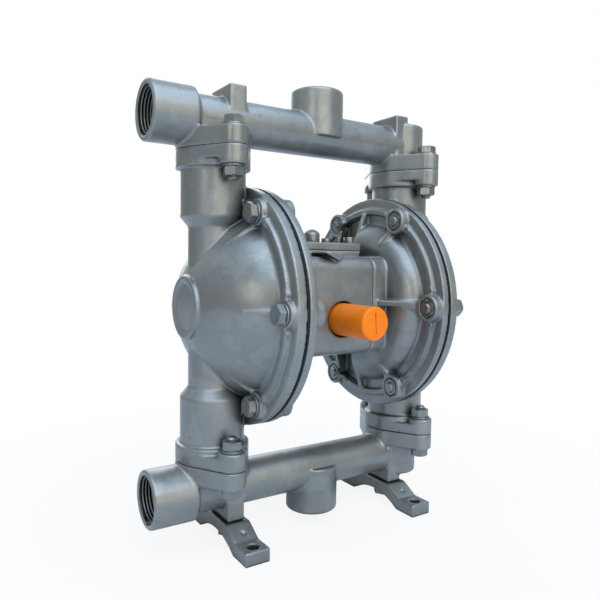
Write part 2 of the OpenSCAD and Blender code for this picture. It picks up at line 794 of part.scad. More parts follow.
// Slotted round silencer in the exhaust port
module silencer() {
    r = silencer_d / 2;
    color("darkorange") pump() translate([0, -block_y / 2, -silencer_drop]) rotate([90, 0, 0]) difference() {
        union() {
            rotate_extrude() polygon([
                [0, -2.2], [r - 0.6, -2.2], [r - 0.6, 0], [r, 0.6], [r, silencer_len - 1.4],
                [r - 0.4, silencer_len - 0.4], [r - 1.4, silencer_len], [0, silencer_len]
            ]);
            translate([0, 0, -14]) cylinder(h = 14, r = r - 3.05);
        }
        translate([-1, -r - cut, silencer_len - 2.2]) cube([2, 2 * r + 2 * cut, 3]);
        translate([0, 0, -15]) cylinder(h = silencer_len + 9, r = r - 6);
    }
}

// Diaphragms: a clamped rim, one rolling convolution and a clamped centre

module diaphragm(s) {
    roll_t = 2;
    color(black) pump() side(s) difference() {
        turned_x() {
            translate([roll_mid + roll_r - roll_t, chamber_in_x])
                square([rim_r - roll_mid - roll_r + roll_t, seam_t]);
            translate([stud_d / 2 + 0.1, chamber_in_x])
                square([roll_mid - roll_r - stud_d / 2 + roll_t - 0.1, seam_t]);
            difference() {
                translate([roll_mid, chamber_in_x]) circle(roll_r);
                translate([roll_mid, chamber_in_x]) circle(roll_r - roll_t);
                translate([0, chamber_in_x - 2 * roll_r]) square([rim_r, 2 * roll_r]);
            }
        }
        clamp_places() rod_x(chamber_in_x - cut, seam_t + 2 * cut, bolt_r + bolt_gap);
    }
}

module diaphragm_left() {
    diaphragm(-1);
}

module diaphragm_right() {
    diaphragm(1);
}

module outer_plate(s) {
    r = plate_d / 2;
    color(steel) pump() side(s) turned_x() polygon([
        [stud_d / 2 + 0.02, cap_in_x], [r - 2, cap_in_x], [r, cap_in_x + 2], [r - 2, cap_in_x + 4],
        [18, cap_in_x + outer_plate_t], [13, cap_in_x + outer_plate_t + 2],
        [stud_d / 2 + 0.02, cap_in_x + outer_plate_t + 2]
    ]);
}

module outer_plate_left() {
    outer_plate(-1);
}

module outer_plate_right() {
    outer_plate(1);
}

module inner_plate(s) {
    r = plate_d / 2;
    x0 = chamber_in_x - inner_plate_t;
    color(steel) pump() side(s) turned_x() polygon([
        [stud_d / 2 + 0.02, x0], [r - 4, x0], [r, x0 + 2], [r - 2, chamber_in_x],
        [stud_d / 2 + 0.02, chamber_in_x]
    ]);
}

module inner_plate_left() {
    inner_plate(-1);
}

module inner_plate_right() {
    inner_plate(1);
}

module plate_nuts() {
    color(steel) pump() for (s = [-1, 1]) side(s) difference() {
        translate([cap_in_x + outer_plate_t + 2, 0, 0]) rotate([0, 90, 0])
            cylinder(h = stud_nut_h, r = stud_nut_af / 2 / cos(30), $fn = 6);
        rod_x(cap_in_x, 40, stud_d / 2 + 0.02);
    }
}

module shaft() {
    color(steel) pump() {
        rod_x(-shaft_half, 2 * shaft_half, shaft_d / 2);
        rod_x(-stud_end, 2 * stud_end, stud_d / 2);
    }
}

module shaft_bushes() {
    color("peru") pump() for (s = [-1, 1]) side(s) difference() {
        rod_x(block_half - bush_len, bush_len, bush_r - 0.01);
        rod_x(block_half - bush_len - cut, bush_len + 2 * cut, shaft_d / 2 + run);
    }
}

module shaft_seals() {
    color(black) pump() for (s = [-1, 1]) side(s) difference() {
        rod_x(block_half - bush_len - seal_len, seal_len, bush_r - 0.01);
        rod_x(block_half - bush_len - seal_len - cut, seal_len + 2 * cut, shaft_d / 2 + run);
    }
}

// Fasteners

module hex_bolt(len) {
    // Head above z = 0, shank below it
    cylinder(h = head_h, r = hex_r, $fn = 6);
    translate([0, 0, -len]) cylinder(h = len, r = bolt_r);
}

module hex_nut() {
    difference() {
        cylinder(h = nut_h, r = hex_r, $fn = 6);
        translate([0, 0, -cut]) cylinder(h = nut_h + 2 * cut, r = bolt_r + 0.02);
    }
}

module washer() {
    difference() {
        cylinder(h = washer_t, r = washer_r);
        translate([0, 0, -cut]) cylinder(h = washer_t + 2 * cut, r = bolt_r + bolt_gap);
    }
}

module clamp_bolts(s) {
    color(steel) pump() side(s) clamp_places() translate([cap_seat_x + washer_t, 0, 0]) rotate([0, 90, 0])
        hex_bolt(clamp_len);
}

module clamp_bolts_left() {
    clamp_bolts(-1);
}

module clamp_bolts_right() {
    clamp_bolts(1);
}

module clamp_washers(s) {
    color(steel) pump() side(s) clamp_places() translate([cap_seat_x, 0, 0]) rotate([0, 90, 0]) washer();
}

module clamp_washers_left() {
    clamp_washers(-1);
}

module clamp_washers_right() {
    clamp_washers(1);
}

module clamp_nuts(s) {
    color(steel) pump() side(s) clamp_places() translate([nut_seat_x - nut_h, 0, 0]) rotate([0, 90, 0])
        hex_nut();
}

module clamp_nuts_left() {
    clamp_nuts(-1);
}

module clamp_nuts_right() {
    clamp_nuts(1);
}

// s is 0 for the outlet joint and 1 for the inlet joint
module joint_side(s) {
    pump() mirror([0, 0, s]) translate([0, 0, joint_rise]) children();
}

module manifold_bolts(s) {
    color(steel) joint_side(s) flange_places() translate([0, 0, flange_t + washer_t])
        hex_bolt(2 * flange_t + 2 * washer_t + nut_h + thread_end);
}

module manifold_bolts_top() {
    manifold_bolts(0);
}

module manifold_bolts_bottom() {
    manifold_bolts(1);
}

module manifold_nuts(s) {
    color(steel) joint_side(s) flange_places() translate([0, 0, -flange_t - washer_t - nut_h]) hex_nut();
}

module manifold_nuts_top() {
    manifold_nuts(0);
}

module manifold_nuts_bottom() {
    manifold_nuts(1);
}

module manifold_washers(s) {
    color(steel) joint_side(s) flange_places() {
        translate([0, 0, flange_t]) washer();
        translate([0, 0, -flange_t - washer_t]) washer();
    }
}

module manifold_washers_top() {
    manifold_washers(0);
}

module manifold_washers_bottom() {
    manifold_washers(1);
}

// Ball valves: each barrel holds a seat and a cage, with the seat always below the ball

module valve_seat() {
    difference() {
        cylinder(h = seat_h, r = seat_r);
        translate([0, 0, -cut]) cylinder(h = seat_h + 2 * cut, r = seat_hole_d / 2);
        translate([0, 0, seat_h - seat_lip])
            cylinder(h = seat_lip + 0.01, r1 = seat_hole_d / 2, r2 = seat_hole_d / 2 + seat_lip);
        // Groove of the seal in the outer wall
        translate([0, 0, seat_h / 2 - seal_w / 2]) difference() {
            cylinder(h = seal_w, r = seat_r + cut);
            translate([0, 0, -cut]) cylinder(h = seal_w + 2 * cut, r = seat_r - 1.6);
        }
    }
}

module ball_cage() {
    // Sleeve with four guide ribs, closed by a spider that stops the ball
    difference() {
        cylinder(h = cage_h, r = seat_r);
        translate([0, 0, -cut]) cylinder(h = cage_h + 2 * cut, r = seat_r - cage_wall);
    }
    difference() {
        union() {
            for (a = [0, 90]) rotate([0, 0, a + 45]) translate([-seat_r + 0.5, -cage_rib / 2, 0])
                cube([2 * seat_r - 1, cage_rib, cage_h]);
        }
        translate([0, 0, -cut]) cylinder(h = spider_z + cut, r = ball_r + guide_gap);
        translate([0, 0, -cut]) cylinder(h = cage_h + 2 * cut, r = 4);
    }
}

module valve_ball() {
    sphere(ball_r);
}

// Height of each valve stack's bottom: the inlet seat lies in the joint, the outlet seat deep in its barrel
function stack_z(outlet) = outlet ? joint_rise - bore_depth : -joint_rise;

module valve_place(s, outlet) {
    pump() translate([s * tube_x, 0, stack_z(outlet)]) children();
}

module seat_inlet_left() {
    color("tan") valve_place(-1, false) valve_seat();
}

module seat_inlet_right() {
    color("tan") valve_place(1, false) valve_seat();
}

module seat_outlet_left() {
    color("tan") valve_place(-1, true) valve_seat();
}

module seat_outlet_right() {
    color("tan") valve_place(1, true) valve_seat();
}

module cage_inlet_left() {
    color("linen") valve_place(-1, false) translate([0, 0, seat_h]) ball_cage();
}

module cage_inlet_right() {
    color("linen") valve_place(1, false) translate([0, 0, seat_h]) ball_cage();
}

module cage_outlet_left() {
    color("linen") valve_place(-1, true) translate([0, 0, seat_h]) ball_cage();
}

module cage_outlet_right() {
    color("linen") valve_place(1, true) translate([0, 0, seat_h]) ball_cage();
}

module ball_inlet_left() {
    color("firebrick") valve_place(-1, false) translate([0, 0, seat_h + ball_up]) valve_ball();
}

module ball_inlet_right() {
    color("firebrick") valve_place(1, false) translate([0, 0, seat_h + ball_up]) valve_ball();
}

module ball_outlet_left() {
    color("firebrick") valve_place(-1, true) translate([0, 0, seat_h + ball_up]) valve_ball();
}

module ball_outlet_right() {
    color("firebrick") valve_place(1, true) translate([0, 0, seat_h + ball_up]) valve_ball();
}

module seat_seals() {
    color(black) for (s = [-1, 1]) for (outlet = [false, true]) valve_place(s, outlet)
        translate([0, 0, seat_h / 2 - seal_w / 2 + 0.05]) difference() {
            cylinder(h = seal_w - 0.1, r = barrel_bore_r - 0.02);
            translate([0, 0, -cut]) cylinder(h = seal_w + 2 * cut, r = seat_r - 1.55);
        }
}

// Air valve

module spool_sleeve() {
    color("peru") pump() translate([0, 0, spool_z]) difference() {
        rod_x(-block_half, 2 * block_half, sleeve_r - 0.01);
        rod_x(-block_half - cut, 2 * block_half + 2 * cut, spool_r + run);
        // Rings of air ports
        for (x = [-port_pitch, 0, port_pitch]) for (i = [0 : 5]) translate([x, 0, 0]) rotate([i * 60, 0, 0])
            cylinder(h = sleeve_r + cut, r = 1.5);
    }
}

module spool() {
    neck = spool_r - 2.5;
    color(steel) pump() translate([0, 0, spool_z]) difference() {
        union() {
            rod_x(-spool_half, 2 * spool_half, neck);
            for (x = [-spool_half, -spool_land / 2, spool_half - spool_land]) rod_x(x, spool_land, spool_r);
        }
        for (x = [-spool_half, -spool_land / 2, spool_half - spool_land]) difference() {
            rod_x(x + spool_land / 2 - 1, 2, spool_r + 1);
            rod_x(x + spool_land / 2 - 2, 4, spool_r - 1.4);
        }
    }
}

module spool_seals() {
    color(black) pump() translate([0, 0, spool_z])
        for (x = [-spool_half, -spool_land / 2, spool_half - spool_land]) difference() {
            rod_x(x + spool_land / 2 - 0.95, 1.9, spool_r);
            rod_x(x + spool_land / 2 - 2, 4, spool_r - 1.38);
        }
}

module pilot_pin() {
    color(steel) pump() translate([0, 0, pilot_z]) rod_x(-pilot_half, 2 * pilot_half, pilot_r);
}

module pilot_bushes() {
    color("peru") pump() translate([0, 0, pilot_z]) for (s = [-1, 1]) side(s) difference() {
        rod_x(block_half - pilot_bush_len, pilot_bush_len, pilot_bush_r - 0.01);
        rod_x(block_half - pilot_bush_len - cut, pilot_bush_len + 2 * cut, pilot_r + run);
    }
}

outlet_manifold();
inlet_manifold();
foot_left();
foot_right();
foot_bolts();
fluid_cap_left();
fluid_cap_right();
air_chamber_left();
air_chamber_right();
centre_block();
hub_gasket_left();
hub_gasket_right();
hub_screws();
valve_cover();
valve_cover_gasket();
valve_cover_screws();
vent_cap();
silencer();
diaphragm_left();
diaphragm_right();
outer_plate_left();
outer_plate_right();
inner_plate_left();
inner_plate_right();
plate_nuts();
shaft();
shaft_bushes();
shaft_seals();
clamp_bolts_left();
clamp_bolts_right();
clamp_washers_left();
clamp_washers_right();
clamp_nuts_left();
clamp_nuts_right();
manifold_bolts_top();
manifold_bolts_bottom();
manifold_nuts_top();
manifold_nuts_bottom();
manifold_washers_top();
manifold_washers_bottom();
seat_inlet_left();
seat_inlet_right();
seat_outlet_left();
seat_outlet_right();
cage_inlet_left();
cage_inlet_right();
cage_outlet_left();
cage_outlet_right();
ball_inlet_left();
ball_inlet_right();
ball_outlet_left();
ball_outlet_right();
seat_seals();
spool_sleeve();
spool();
spool_seals();
pilot_pin();
pilot_bushes();
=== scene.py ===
# %% [markdown]
# A cast aluminium diaphragm pump, dressed for a studio picture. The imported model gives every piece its
# size and place, in metres, with the origin on the floor between the feet. This script leaves those places
# alone. It gives the castings their soft edges, the bolts their chamfers, the ports their threads, and
# every surface its finish.

# %% Load the frame
import json
import math

import bmesh
import bpy
import numpy as np
from mathutils import Matrix, Vector


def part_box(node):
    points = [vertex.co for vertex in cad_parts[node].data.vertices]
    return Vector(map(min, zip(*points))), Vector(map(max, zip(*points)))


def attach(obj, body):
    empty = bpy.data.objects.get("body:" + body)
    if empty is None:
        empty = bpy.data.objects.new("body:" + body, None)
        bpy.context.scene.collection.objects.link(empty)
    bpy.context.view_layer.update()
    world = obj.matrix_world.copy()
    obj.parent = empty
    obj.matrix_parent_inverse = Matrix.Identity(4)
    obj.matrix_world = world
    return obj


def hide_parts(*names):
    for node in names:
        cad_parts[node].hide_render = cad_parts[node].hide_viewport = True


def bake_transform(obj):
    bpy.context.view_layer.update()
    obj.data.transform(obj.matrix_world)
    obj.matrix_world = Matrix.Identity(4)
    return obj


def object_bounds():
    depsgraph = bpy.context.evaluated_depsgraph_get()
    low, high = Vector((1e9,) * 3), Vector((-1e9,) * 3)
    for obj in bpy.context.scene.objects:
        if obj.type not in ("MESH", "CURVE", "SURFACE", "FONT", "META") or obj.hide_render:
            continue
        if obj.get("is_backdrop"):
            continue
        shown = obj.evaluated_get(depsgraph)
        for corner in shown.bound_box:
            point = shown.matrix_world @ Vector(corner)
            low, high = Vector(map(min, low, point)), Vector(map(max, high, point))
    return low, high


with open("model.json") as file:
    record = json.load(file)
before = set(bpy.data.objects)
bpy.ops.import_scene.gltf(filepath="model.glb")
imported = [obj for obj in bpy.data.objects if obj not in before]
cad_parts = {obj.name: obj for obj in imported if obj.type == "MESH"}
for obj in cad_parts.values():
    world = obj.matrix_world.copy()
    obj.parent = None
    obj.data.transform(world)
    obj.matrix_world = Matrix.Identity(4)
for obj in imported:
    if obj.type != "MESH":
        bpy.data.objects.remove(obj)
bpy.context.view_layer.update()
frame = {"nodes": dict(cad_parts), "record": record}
MM = 0.001
scene = bpy.context.scene
nodes = frame["nodes"]

# %% [markdown]
# The driving places come from the frame itself: the boxes of a few nodes say where the shaft, the tubes
# and the manifolds lie, so the looks follow when the model changes.

# %% Places read from the frame
# the thickness of a diaphragm where the rims clamp it
SEAM_THICK = 1.8 * MM


def middle(node):
    """The middle of a node's box."""
    low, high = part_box(node)
    return (Vector(low) + Vector(high)) / 2


SHAFT_Z = middle("shaft").z
SHAFT_CENTRE = Vector((0, 0, SHAFT_Z))
TUBE_X = middle("ball_outlet_right").x
PORT_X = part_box("outlet_manifold")[0][0]
SEAM_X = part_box("diaphragm_right")[0][0] + SEAM_THICK / 2
RIM_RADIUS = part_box("air_chamber_right")[1][1]
JOINT_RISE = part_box("fluid_cap_right")[1][2] - SHAFT_Z
mounts = {m["name"]: m for m in frame["record"]["mounts"]}
PORT_RADIUS = mounts["outlet_port"]["dims"]["r_mm"] * MM
PORT_DEPTH = mounts["outlet_port"]["dims"]["length_mm"] * MM
PORT_RISE = mounts["outlet_port"]["pos_m"][2] - SHAFT_Z
print("shaft height", round(SHAFT_Z, 4), "tube axis", round(TUBE_X, 4), "port face", round(PORT_X, 4))
print("seam plane", round(SEAM_X, 4), "rim radius", round(RIM_RADIUS, 4))

# %% [markdown]
# The camera stands where the photo was taken from: a little above the shaft, in front and to the left,
# about half a metre away. Its lens and its small roll were found by fitting the pump's own round and
# square features.

# %% Camera
CAMERA_AT = Vector((-0.2695, -0.3965, 0.2100))
CAMERA_AZIMUTH = math.radians(-32.84)
CAMERA_ELEVATION = math.radians(3.61)
CAMERA_ROLL = math.radians(0.73)
LENS_MM = 35.2
SENSOR_MM = 36

back = Vector((
    math.sin(CAMERA_AZIMUTH) * math.cos(CAMERA_ELEVATION),
    -math.cos(CAMERA_AZIMUTH) * math.cos(CAMERA_ELEVATION),
    math.sin(CAMERA_ELEVATION),
))
camera = bpy.data.objects.new("camera", bpy.data.cameras.new("camera"))
scene.collection.objects.link(camera)
camera.data.lens = LENS_MM
camera.data.sensor_width = SENSOR_MM
camera.data.clip_start = 10 * MM
camera.location = CAMERA_AT
camera.rotation_euler = (-back).to_track_quat("-Z", "Y").to_euler()
camera.rotation_euler.rotate_axis("Z", CAMERA_ROLL)
scene.camera = camera
scene.view_settings.view_transform = "Standard"
print("camera", [round(v, 3) for v in camera.location])

# %% [markdown]
# Colours are written as the hex values that a painter would read off a chart. Blender works in linear
# light, so one function converts them. A second one adds a shader or geometry node with its properties,
# values and links.

# %% Small helpers


def linear(code):
    """Turns an sRGB hex colour into linear RGBA."""
    parts = [int(code[i:i + 2], 16) / 255 for i in (1, 3, 5)]
    return (*[v / 12.92 if v <= 0.04045 else ((v + 0.055) / 1.055) ** 2.4 for v in parts], 1)


def add(tree, kind, props=None, values=None, links=None):
    """Adds a node; props are its properties, values its inputs' constants, links its inputs' sources."""
    node = tree.nodes.new(kind)
    for name, value in (props or {}).items():
        setattr(node, name, value)
    for name, value in (values or {}).items():
        node.inputs[name].default_value = value
    for name, source in (links or {}).items():
        tree.links.new(source, node.inputs[name])
    return node


def start_material(name):
    """An empty material with its node tree."""
    mat = bpy.data.materials.new(name)
    mat.use_nodes = True
    mat.node_tree.nodes.clear()
    return mat, mat.node_tree


print("white is", linear("#ffffff"))

# %% [markdown]
# The studio is a pale room. The camera sees its walls as pure white. Reflections see them too, but there
# they fade from a cool white overhead to a warm grey at eye level, as the walls of a room do, which is
# what gives painted metal its modelling.

# %% Surround
world = bpy.data.worlds.new("studio")
scene.world = world
world.use_nodes = True
tree = world.node_tree
tree.nodes.clear()
rays = add(tree, "ShaderNodeLightPath")
direction = add(tree, "ShaderNodeTexCoord").outputs["Generated"]
height = add(tree, "ShaderNodeSeparateXYZ", links={"Vector": direction}).outputs["Z"]
sweep = add(tree, "ShaderNodeMapRange", None, {"From Min": 0.0, "From Max": 0.75}, {"Value": height})
level = add(tree, "ShaderNodeMapRange", None, {"To Min": 0.42, "To Max": 1.0}, {"Value": sweep.outputs[0]})
tone = add(tree, "ShaderNodeMix", {"data_type": "RGBA"}, {6: linear("#efe9dd"), 7: linear("#d3e8fd")},
           {0: sweep.outputs[0]})
room = add(tree, "ShaderNodeBackground", links={"Color": tone.outputs[2], "Strength": level.outputs[0]})
fill = add(tree, "ShaderNodeBackground", values={"Color": linear("#e2e8ef"), "Strength": 0.30})
white = add(tree, "ShaderNodeBackground", values={"Color": linear("#ffffff"), "Strength": 1.0})
mirrored = add(tree, "ShaderNodeMath", {"operation": "MAXIMUM"}, None,
               {0: rays.outputs["Is Glossy Ray"], 1: rays.outputs["Is Transmission Ray"]})
around = add(tree, "ShaderNodeMixShader", None, None,
             {0: mirrored.outputs[0], 1: fill.outputs[0], 2: room.outputs[0]})
seen = add(tree, "ShaderNodeMixShader", None, None,
           {0: rays.outputs["Is Camera Ray"], 1: around.outputs[0], 2: white.outputs[0]})
add(tree, "ShaderNodeOutputWorld", links={"Surface": seen.outputs[0]})
print("surround of", len(tree.nodes), "nodes")

# %% [markdown]
# The floor is white paper. To the camera it glows white, so that it melts into the surround, except near
# the pump: there a part of its real shading stays, which keeps the pump's soft shadow.

# %% Floor
FLOOR = 40.0
SHADOW_CORE = 0.1
SHADOW_REACH = 0.45
GLOW_AT_CORE = 0.88
corners = [(-FLOOR, -FLOOR, 0), (FLOOR, -FLOOR, 0), (FLOOR, FLOOR, 0), (-FLOOR, FLOOR, 0)]
floor_mesh = bpy.data.meshes.new("floor")
floor_mesh.from_pydata(corners, [], [(0, 1, 2, 3)])
floor = bpy.data.objects.new("floor", floor_mesh)
scene.collection.objects.link(floor)
floor_mat, tree = start_material("white_paper_floor")
rays = add(tree, "ShaderNodeLightPath")
paper = add(tree, "ShaderNodeBsdfDiffuse", values={"Color": linear("#eaf1f8")})
glow = add(tree, "ShaderNodeEmission", values={"Color": linear("#ffffff"), "Strength": 1.0})
spot = add(tree, "ShaderNodeTexCoord").outputs["Object"]
distance = add(tree, "ShaderNodeVectorMath", {"operation": "LENGTH"}, None, {0: spot})
whiteness = add(tree, "ShaderNodeMapRange", None,
                {"From Min": SHADOW_CORE, "From Max": SHADOW_REACH, "To Min": GLOW_AT_CORE},
                {"Value": distance.outputs["Value"]})
share = add(tree, "ShaderNodeMath", {"operation": "MULTIPLY"}, None,
            {0: rays.outputs["Is Camera Ray"], 1: whiteness.outputs[0]})
mixed = add(tree, "ShaderNodeMixShader", None, None,
            {0: share.outputs[0], 1: paper.outputs[0], 2: glow.outputs[0]})
add(tree, "ShaderNodeOutputMaterial", links={"Surface": mixed.outputs[0]})
floor_mesh.materials.append(floor_mat)
floor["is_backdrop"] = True
print("floor", 2 * FLOOR, "m wide, shadow kept within", SHADOW_REACH, "m")

# %% [markdown]
# Four square soft lights: a large cool one overhead, like daylight, a warm one in front, a small one at
# the left like a window, and one behind. They are broad, because metallic paint shows its form in wide
# soft highlights.

# %% Lights


def softbox(name, where, size, watts, colour):
    """A square soft light that points at the pump's middle."""
    light = bpy.data.lights.new(name, "AREA")
    light.size = size
    light.energy = watts
    light.color = linear(colour)[:3]
    lamp = bpy.data.objects.new(name, light)
    lamp.location = where
    lamp.rotation_euler = (Vector(where) - SHAFT_CENTRE).to_track_quat("Z", "Y").to_euler()
    scene.collection.objects.link(lamp)
    print(name, size, "m wide,", watts, "W")


softbox("sky_light", (-0.15, -1.0, 2.2), 2.6, 52, "#cfe4ff")
softbox("front_light", (0.0, -2.4, 0.9), 2.3, 24, "#fff0dc")
softbox("window_light", (-2.1, -1.5, 1.0), 0.9, 6, "#fff6ea")
softbox("rear_light", (0.5, 2.3, 1.2), 1.8, 20, "#f2f6ff")

# %% [markdown]
# A worn finish is built as a painter would fake it: a base colour, then thin coats through masks. The
# masks come from three sources. Noise gives spots of a real size in millimetres. Ambient occlusion, which
# measures how much sky a point sees, finds hollows, and edges when it looks into the metal; here it lays
# painted shade into hollows and painted highlights onto edges. Distances from planes and axes find places
# on the pump. A picture painted on a UV map could do the same, but these masks need no map and keep their
# real size on every piece.

# %% Coats and masks


def per_mm(size):
    """The scale of a texture whose features measure size millimetres."""
    return 1 / (size * MM)


def coat(tree, under, over, mask, share=1.0):
    """Lays a hex colour over another, at most to that share, where the mask is 1.

    Under is a hex colour or what an earlier coat gave."""
    if share < 1:
        mask = add(tree, "ShaderNodeMath", {"operation": "MULTIPLY"}, {1: share}, {0: mask}).outputs[0]
    layers = add(tree, "ShaderNodeMix", {"data_type": "RGBA"}, {7: linear(over)}, {0: mask})
    if isinstance(under, str):
        layers.inputs[6].default_value = linear(under)
    else:
        tree.links.new(under, layers.inputs[6])
    return layers.outputs[2]


def speckle(tree, here, size, low, high):
    """Noise of that size in millimetres, squeezed to a mask between two thresholds."""
    noise = add(tree, "ShaderNodeTexNoise", None, {"Scale": per_mm(size), "Detail": 3.0}, {"Vector": here})
    ramp = add(tree, "ShaderNodeMapRange", None, {"From Min": low, "From Max": high},
               {"Value": noise.outputs["Fac"]})
    return ramp.outputs["Result"]


def enclosed(tree, reach, deep, shallow, strength=1.0, samples=6, inside=False):
    """Mask from the share of sky seen within reach millimetres: strength below deep, 0 above shallow.

    Looking inside the metal, it finds edges in place of hollows."""
    sky = add(tree, "ShaderNodeAmbientOcclusion", {"samples": samples, "inside": inside},
              {"Distance": reach * MM})
    mask = add(tree, "ShaderNodeMapRange", None,
               {"From Min": deep, "From Max": shallow, "To Min": strength, "To Max": 0.0},
               {"Value": sky.outputs["AO"]})
    return mask.outputs["Result"]


def near_plane(tree, value, plane, reach):
    """1 where a coordinate is plus or minus plane, falling to 0 at reach from it."""
    apart = add(tree, "ShaderNodeMath", {"operation": "ABSOLUTE"}, None, {0: value})
    apart = add(tree, "ShaderNodeMath", {"operation": "SUBTRACT"}, {1: plane}, {0: apart.outputs[0]})
    apart = add(tree, "ShaderNodeMath", {"operation": "ABSOLUTE"}, None, {0: apart.outputs[0]})
    near = add(tree, "ShaderNodeMapRange", None,
               {"From Min": 0.0, "From Max": reach, "To Min": 1.0, "To Max": 0.0},
               {"Value": apart.outputs[0]})
    return near.outputs["Result"]


def off_axis(tree, here, centre, axis):
    """Distance in metres from the line through centre along axis."""
    apart = add(tree, "ShaderNodeVectorMath", {"operation": "SUBTRACT"}, {1: centre}, {0: here}).outputs[0]
    along = add(tree, "ShaderNodeVectorMath", {"operation": "PROJECT"}, {1: axis}, {0: apart}).outputs[0]
    across = add(tree, "ShaderNodeVectorMath", {"operation": "SUBTRACT"}, None, {0: apart, 1: along})
    length = add(tree, "ShaderNodeVectorMath", {"operation": "LENGTH"}, None, {0: across.outputs[0]})
    return length.outputs["Value"]


print("a 2 mm spot has a noise scale of", per_mm(2))

# %% [markdown]
# The castings are sand-cast aluminium under one coat of silver-grey metallic paint. The eye gets three
# things from that: a fine grain left by the sand, soft broad highlights from the flakes, and small dark
# spots where the paint is pitted or chipped. It chips most along the clamped seams and the flange joints.
# Shade is also painted into the colour, in the hollows, the creases and the bores of the ports, which are
# bare, and highlights are painted along the edges.

# %% Painted casting
X_AXIS = (1, 0, 0)
SEAM_CHIP_REACH = 5.0 * MM
JOINT_CHIP_REACH = 1.6 * MM
CHIP_SIZE = 1.6


def seam_chips(tree, here):
    """Mask of the chipped paint along the diaphragm seams and the flange joints."""
    from_shaft = add(tree, "ShaderNodeVectorMath", {"operation": "SUBTRACT"}, {1: SHAFT_CENTRE}, {0: here})
    axes = add(tree, "ShaderNodeSeparateXYZ", links={"Vector": from_shaft.outputs[0]})
    seam = near_plane(tree, axes.outputs["X"], SEAM_X, SEAM_CHIP_REACH)
    on_rim = add(tree, "ShaderNodeMath", {"operation": "LESS_THAN"}, {1: RIM_RADIUS + 2 * MM},
                 {0: off_axis(tree, here, SHAFT_CENTRE, X_AXIS)})
    seam = add(tree, "ShaderNodeMath", {"operation": "MULTIPLY"}, None, {0: seam, 1: on_rim.outputs[0]})
    joint = near_plane(tree, axes.outputs["Z"], JOINT_RISE, JOINT_CHIP_REACH)
    edge = add(tree, "ShaderNodeMath", {"operation": "MAXIMUM"}, None, {0: seam.outputs[0], 1: joint})
    flaked = add(tree, "ShaderNodeTexNoise", None,
                 {"Scale": per_mm(CHIP_SIZE), "Detail": 4.0, "Roughness": 0.7}, {"Vector": here})
    total = add(tree, "ShaderNodeMath", {"operation": "ADD"}, None,
                {0: edge.outputs[0], 1: flaked.outputs["Fac"]})
    chipped = add(tree, "ShaderNodeMapRange", None, {"From Min": 1.38, "From Max": 1.44},
                  {"Value": total.outputs[0]})
    return chipped.outputs["Result"]


def painted_bore_shade(tree, here):
    """Mask of the walls of both ports, where shade is painted, told by their depth and their distance from
    the ports' axes.
    """
    from_shaft = add(tree, "ShaderNodeVectorMath", {"operation": "SUBTRACT"}, {1: SHAFT_CENTRE}, {0: here})
    folded = add(tree, "ShaderNodeVectorMath", {"operation": "ABSOLUTE"}, None, {0: from_shaft.outputs[0]})
    narrow = add(tree, "ShaderNodeMath", {"operation": "LESS_THAN"}, {1: PORT_RADIUS + 0.3 * MM},
                 {0: off_axis(tree, folded.outputs[0], (0, 0, PORT_RISE), X_AXIS)})
    axes = add(tree, "ShaderNodeSeparateXYZ", links={"Vector": folded.outputs[0]})
    far_out = add(tree, "ShaderNodeMath", {"operation": "GREATER_THAN"}, {1: -PORT_X - PORT_DEPTH - MM},
                  {0: axes.outputs["X"]})
    shaded_bore_walls = add(tree, "ShaderNodeMath", {"operation": "MULTIPLY"}, None,
               {0: narrow.outputs[0], 1: far_out.outputs[0]})
    return shaded_bore_walls.outputs[0]


def painted_casting():
    """Sand-cast aluminium under silver-grey metallic paint: grainy, softly glossy, with painted shade in
    its corners and painted highlights on its edges.
    """
    mat, tree = start_material("silver_painted_cast_aluminium")
    here = add(tree, "ShaderNodeTexCoord").outputs["Object"]
    clouds = speckle(tree, here, 45, 0.35, 0.65)
    colour = coat(tree, "#7b7f7d", "#8a8e8b", clouds)
    # the paint's metal flakes, drawn larger than they are to show, then pale patches where it lies thin
    colour = coat(tree, colour, "#a7abaa", speckle(tree, here, 0.5, 0.3, 0.7), 0.3)
    colour = coat(tree, colour, "#9fa39f", speckle(tree, here, 17, 0.55, 0.59), 0.3)
    # painted shade in the hollows, then painted shade in the creases
    colour = coat(tree, colour, "#2a2f2d", enclosed(tree, 40, 0.15, 0.62, samples=8))
    colour = coat(tree, colour, "#262b2b", enclosed(tree, 3.5, 0.4, 0.8, 0.8))
    # painted highlights along the edges, then small pits and chips
    colour = coat(tree, colour, "#c4c9c8", enclosed(tree, 2.2, 0.3, 0.7, 0.75, inside=True))
    colour = coat(tree, colour, "#4d5252", speckle(tree, here, 2.2, 0.71, 0.74))
    colour = coat(tree, colour, "#161817", seam_chips(tree, here))
    # painted shade in the bores of the ports
    colour = coat(tree, colour, "#171512", painted_bore_shade(tree, here))
    rough = add(tree, "ShaderNodeMapRange", None, {"To Min": 0.30, "To Max": 0.42}, {"Value": clouds})
    # the sand's grain, and the broader waves of the poured skin
    grain = add(tree, "ShaderNodeTexNoise", None, {"Scale": per_mm(1.4), "Detail": 4.0, "Roughness": 0.6},
                {"Vector": here})
    waves = add(tree, "ShaderNodeTexNoise", None, {"Scale": per_mm(11), "Detail": 2.0}, {"Vector": here})
    bump = add(tree, "ShaderNodeBump", None, {"Strength": 0.35, "Distance": 0.25 * MM},
               {"Height": grain.outputs["Fac"]})
    bump = add(tree, "ShaderNodeBump", None, {"Strength": 0.3, "Distance": 1.0 * MM},
               {"Height": waves.outputs["Fac"], "Normal": bump.outputs["Normal"]})
    shader = add(tree, "ShaderNodeBsdfPrincipled", None,
                 {"Metallic": 0.6, "Coat Weight": 0.3, "Coat Roughness": 0.14},
                 {"Base Color": colour, "Roughness": rough.outputs["Result"],
                  "Normal": bump.outputs["Normal"]})
    add(tree, "ShaderNodeOutputMaterial", links={"Surface": shader.outputs[0]})
    return mat


PAINT = painted_casting()
print(PAINT.name, "of", len(PAINT.node_tree.nodes), "nodes")

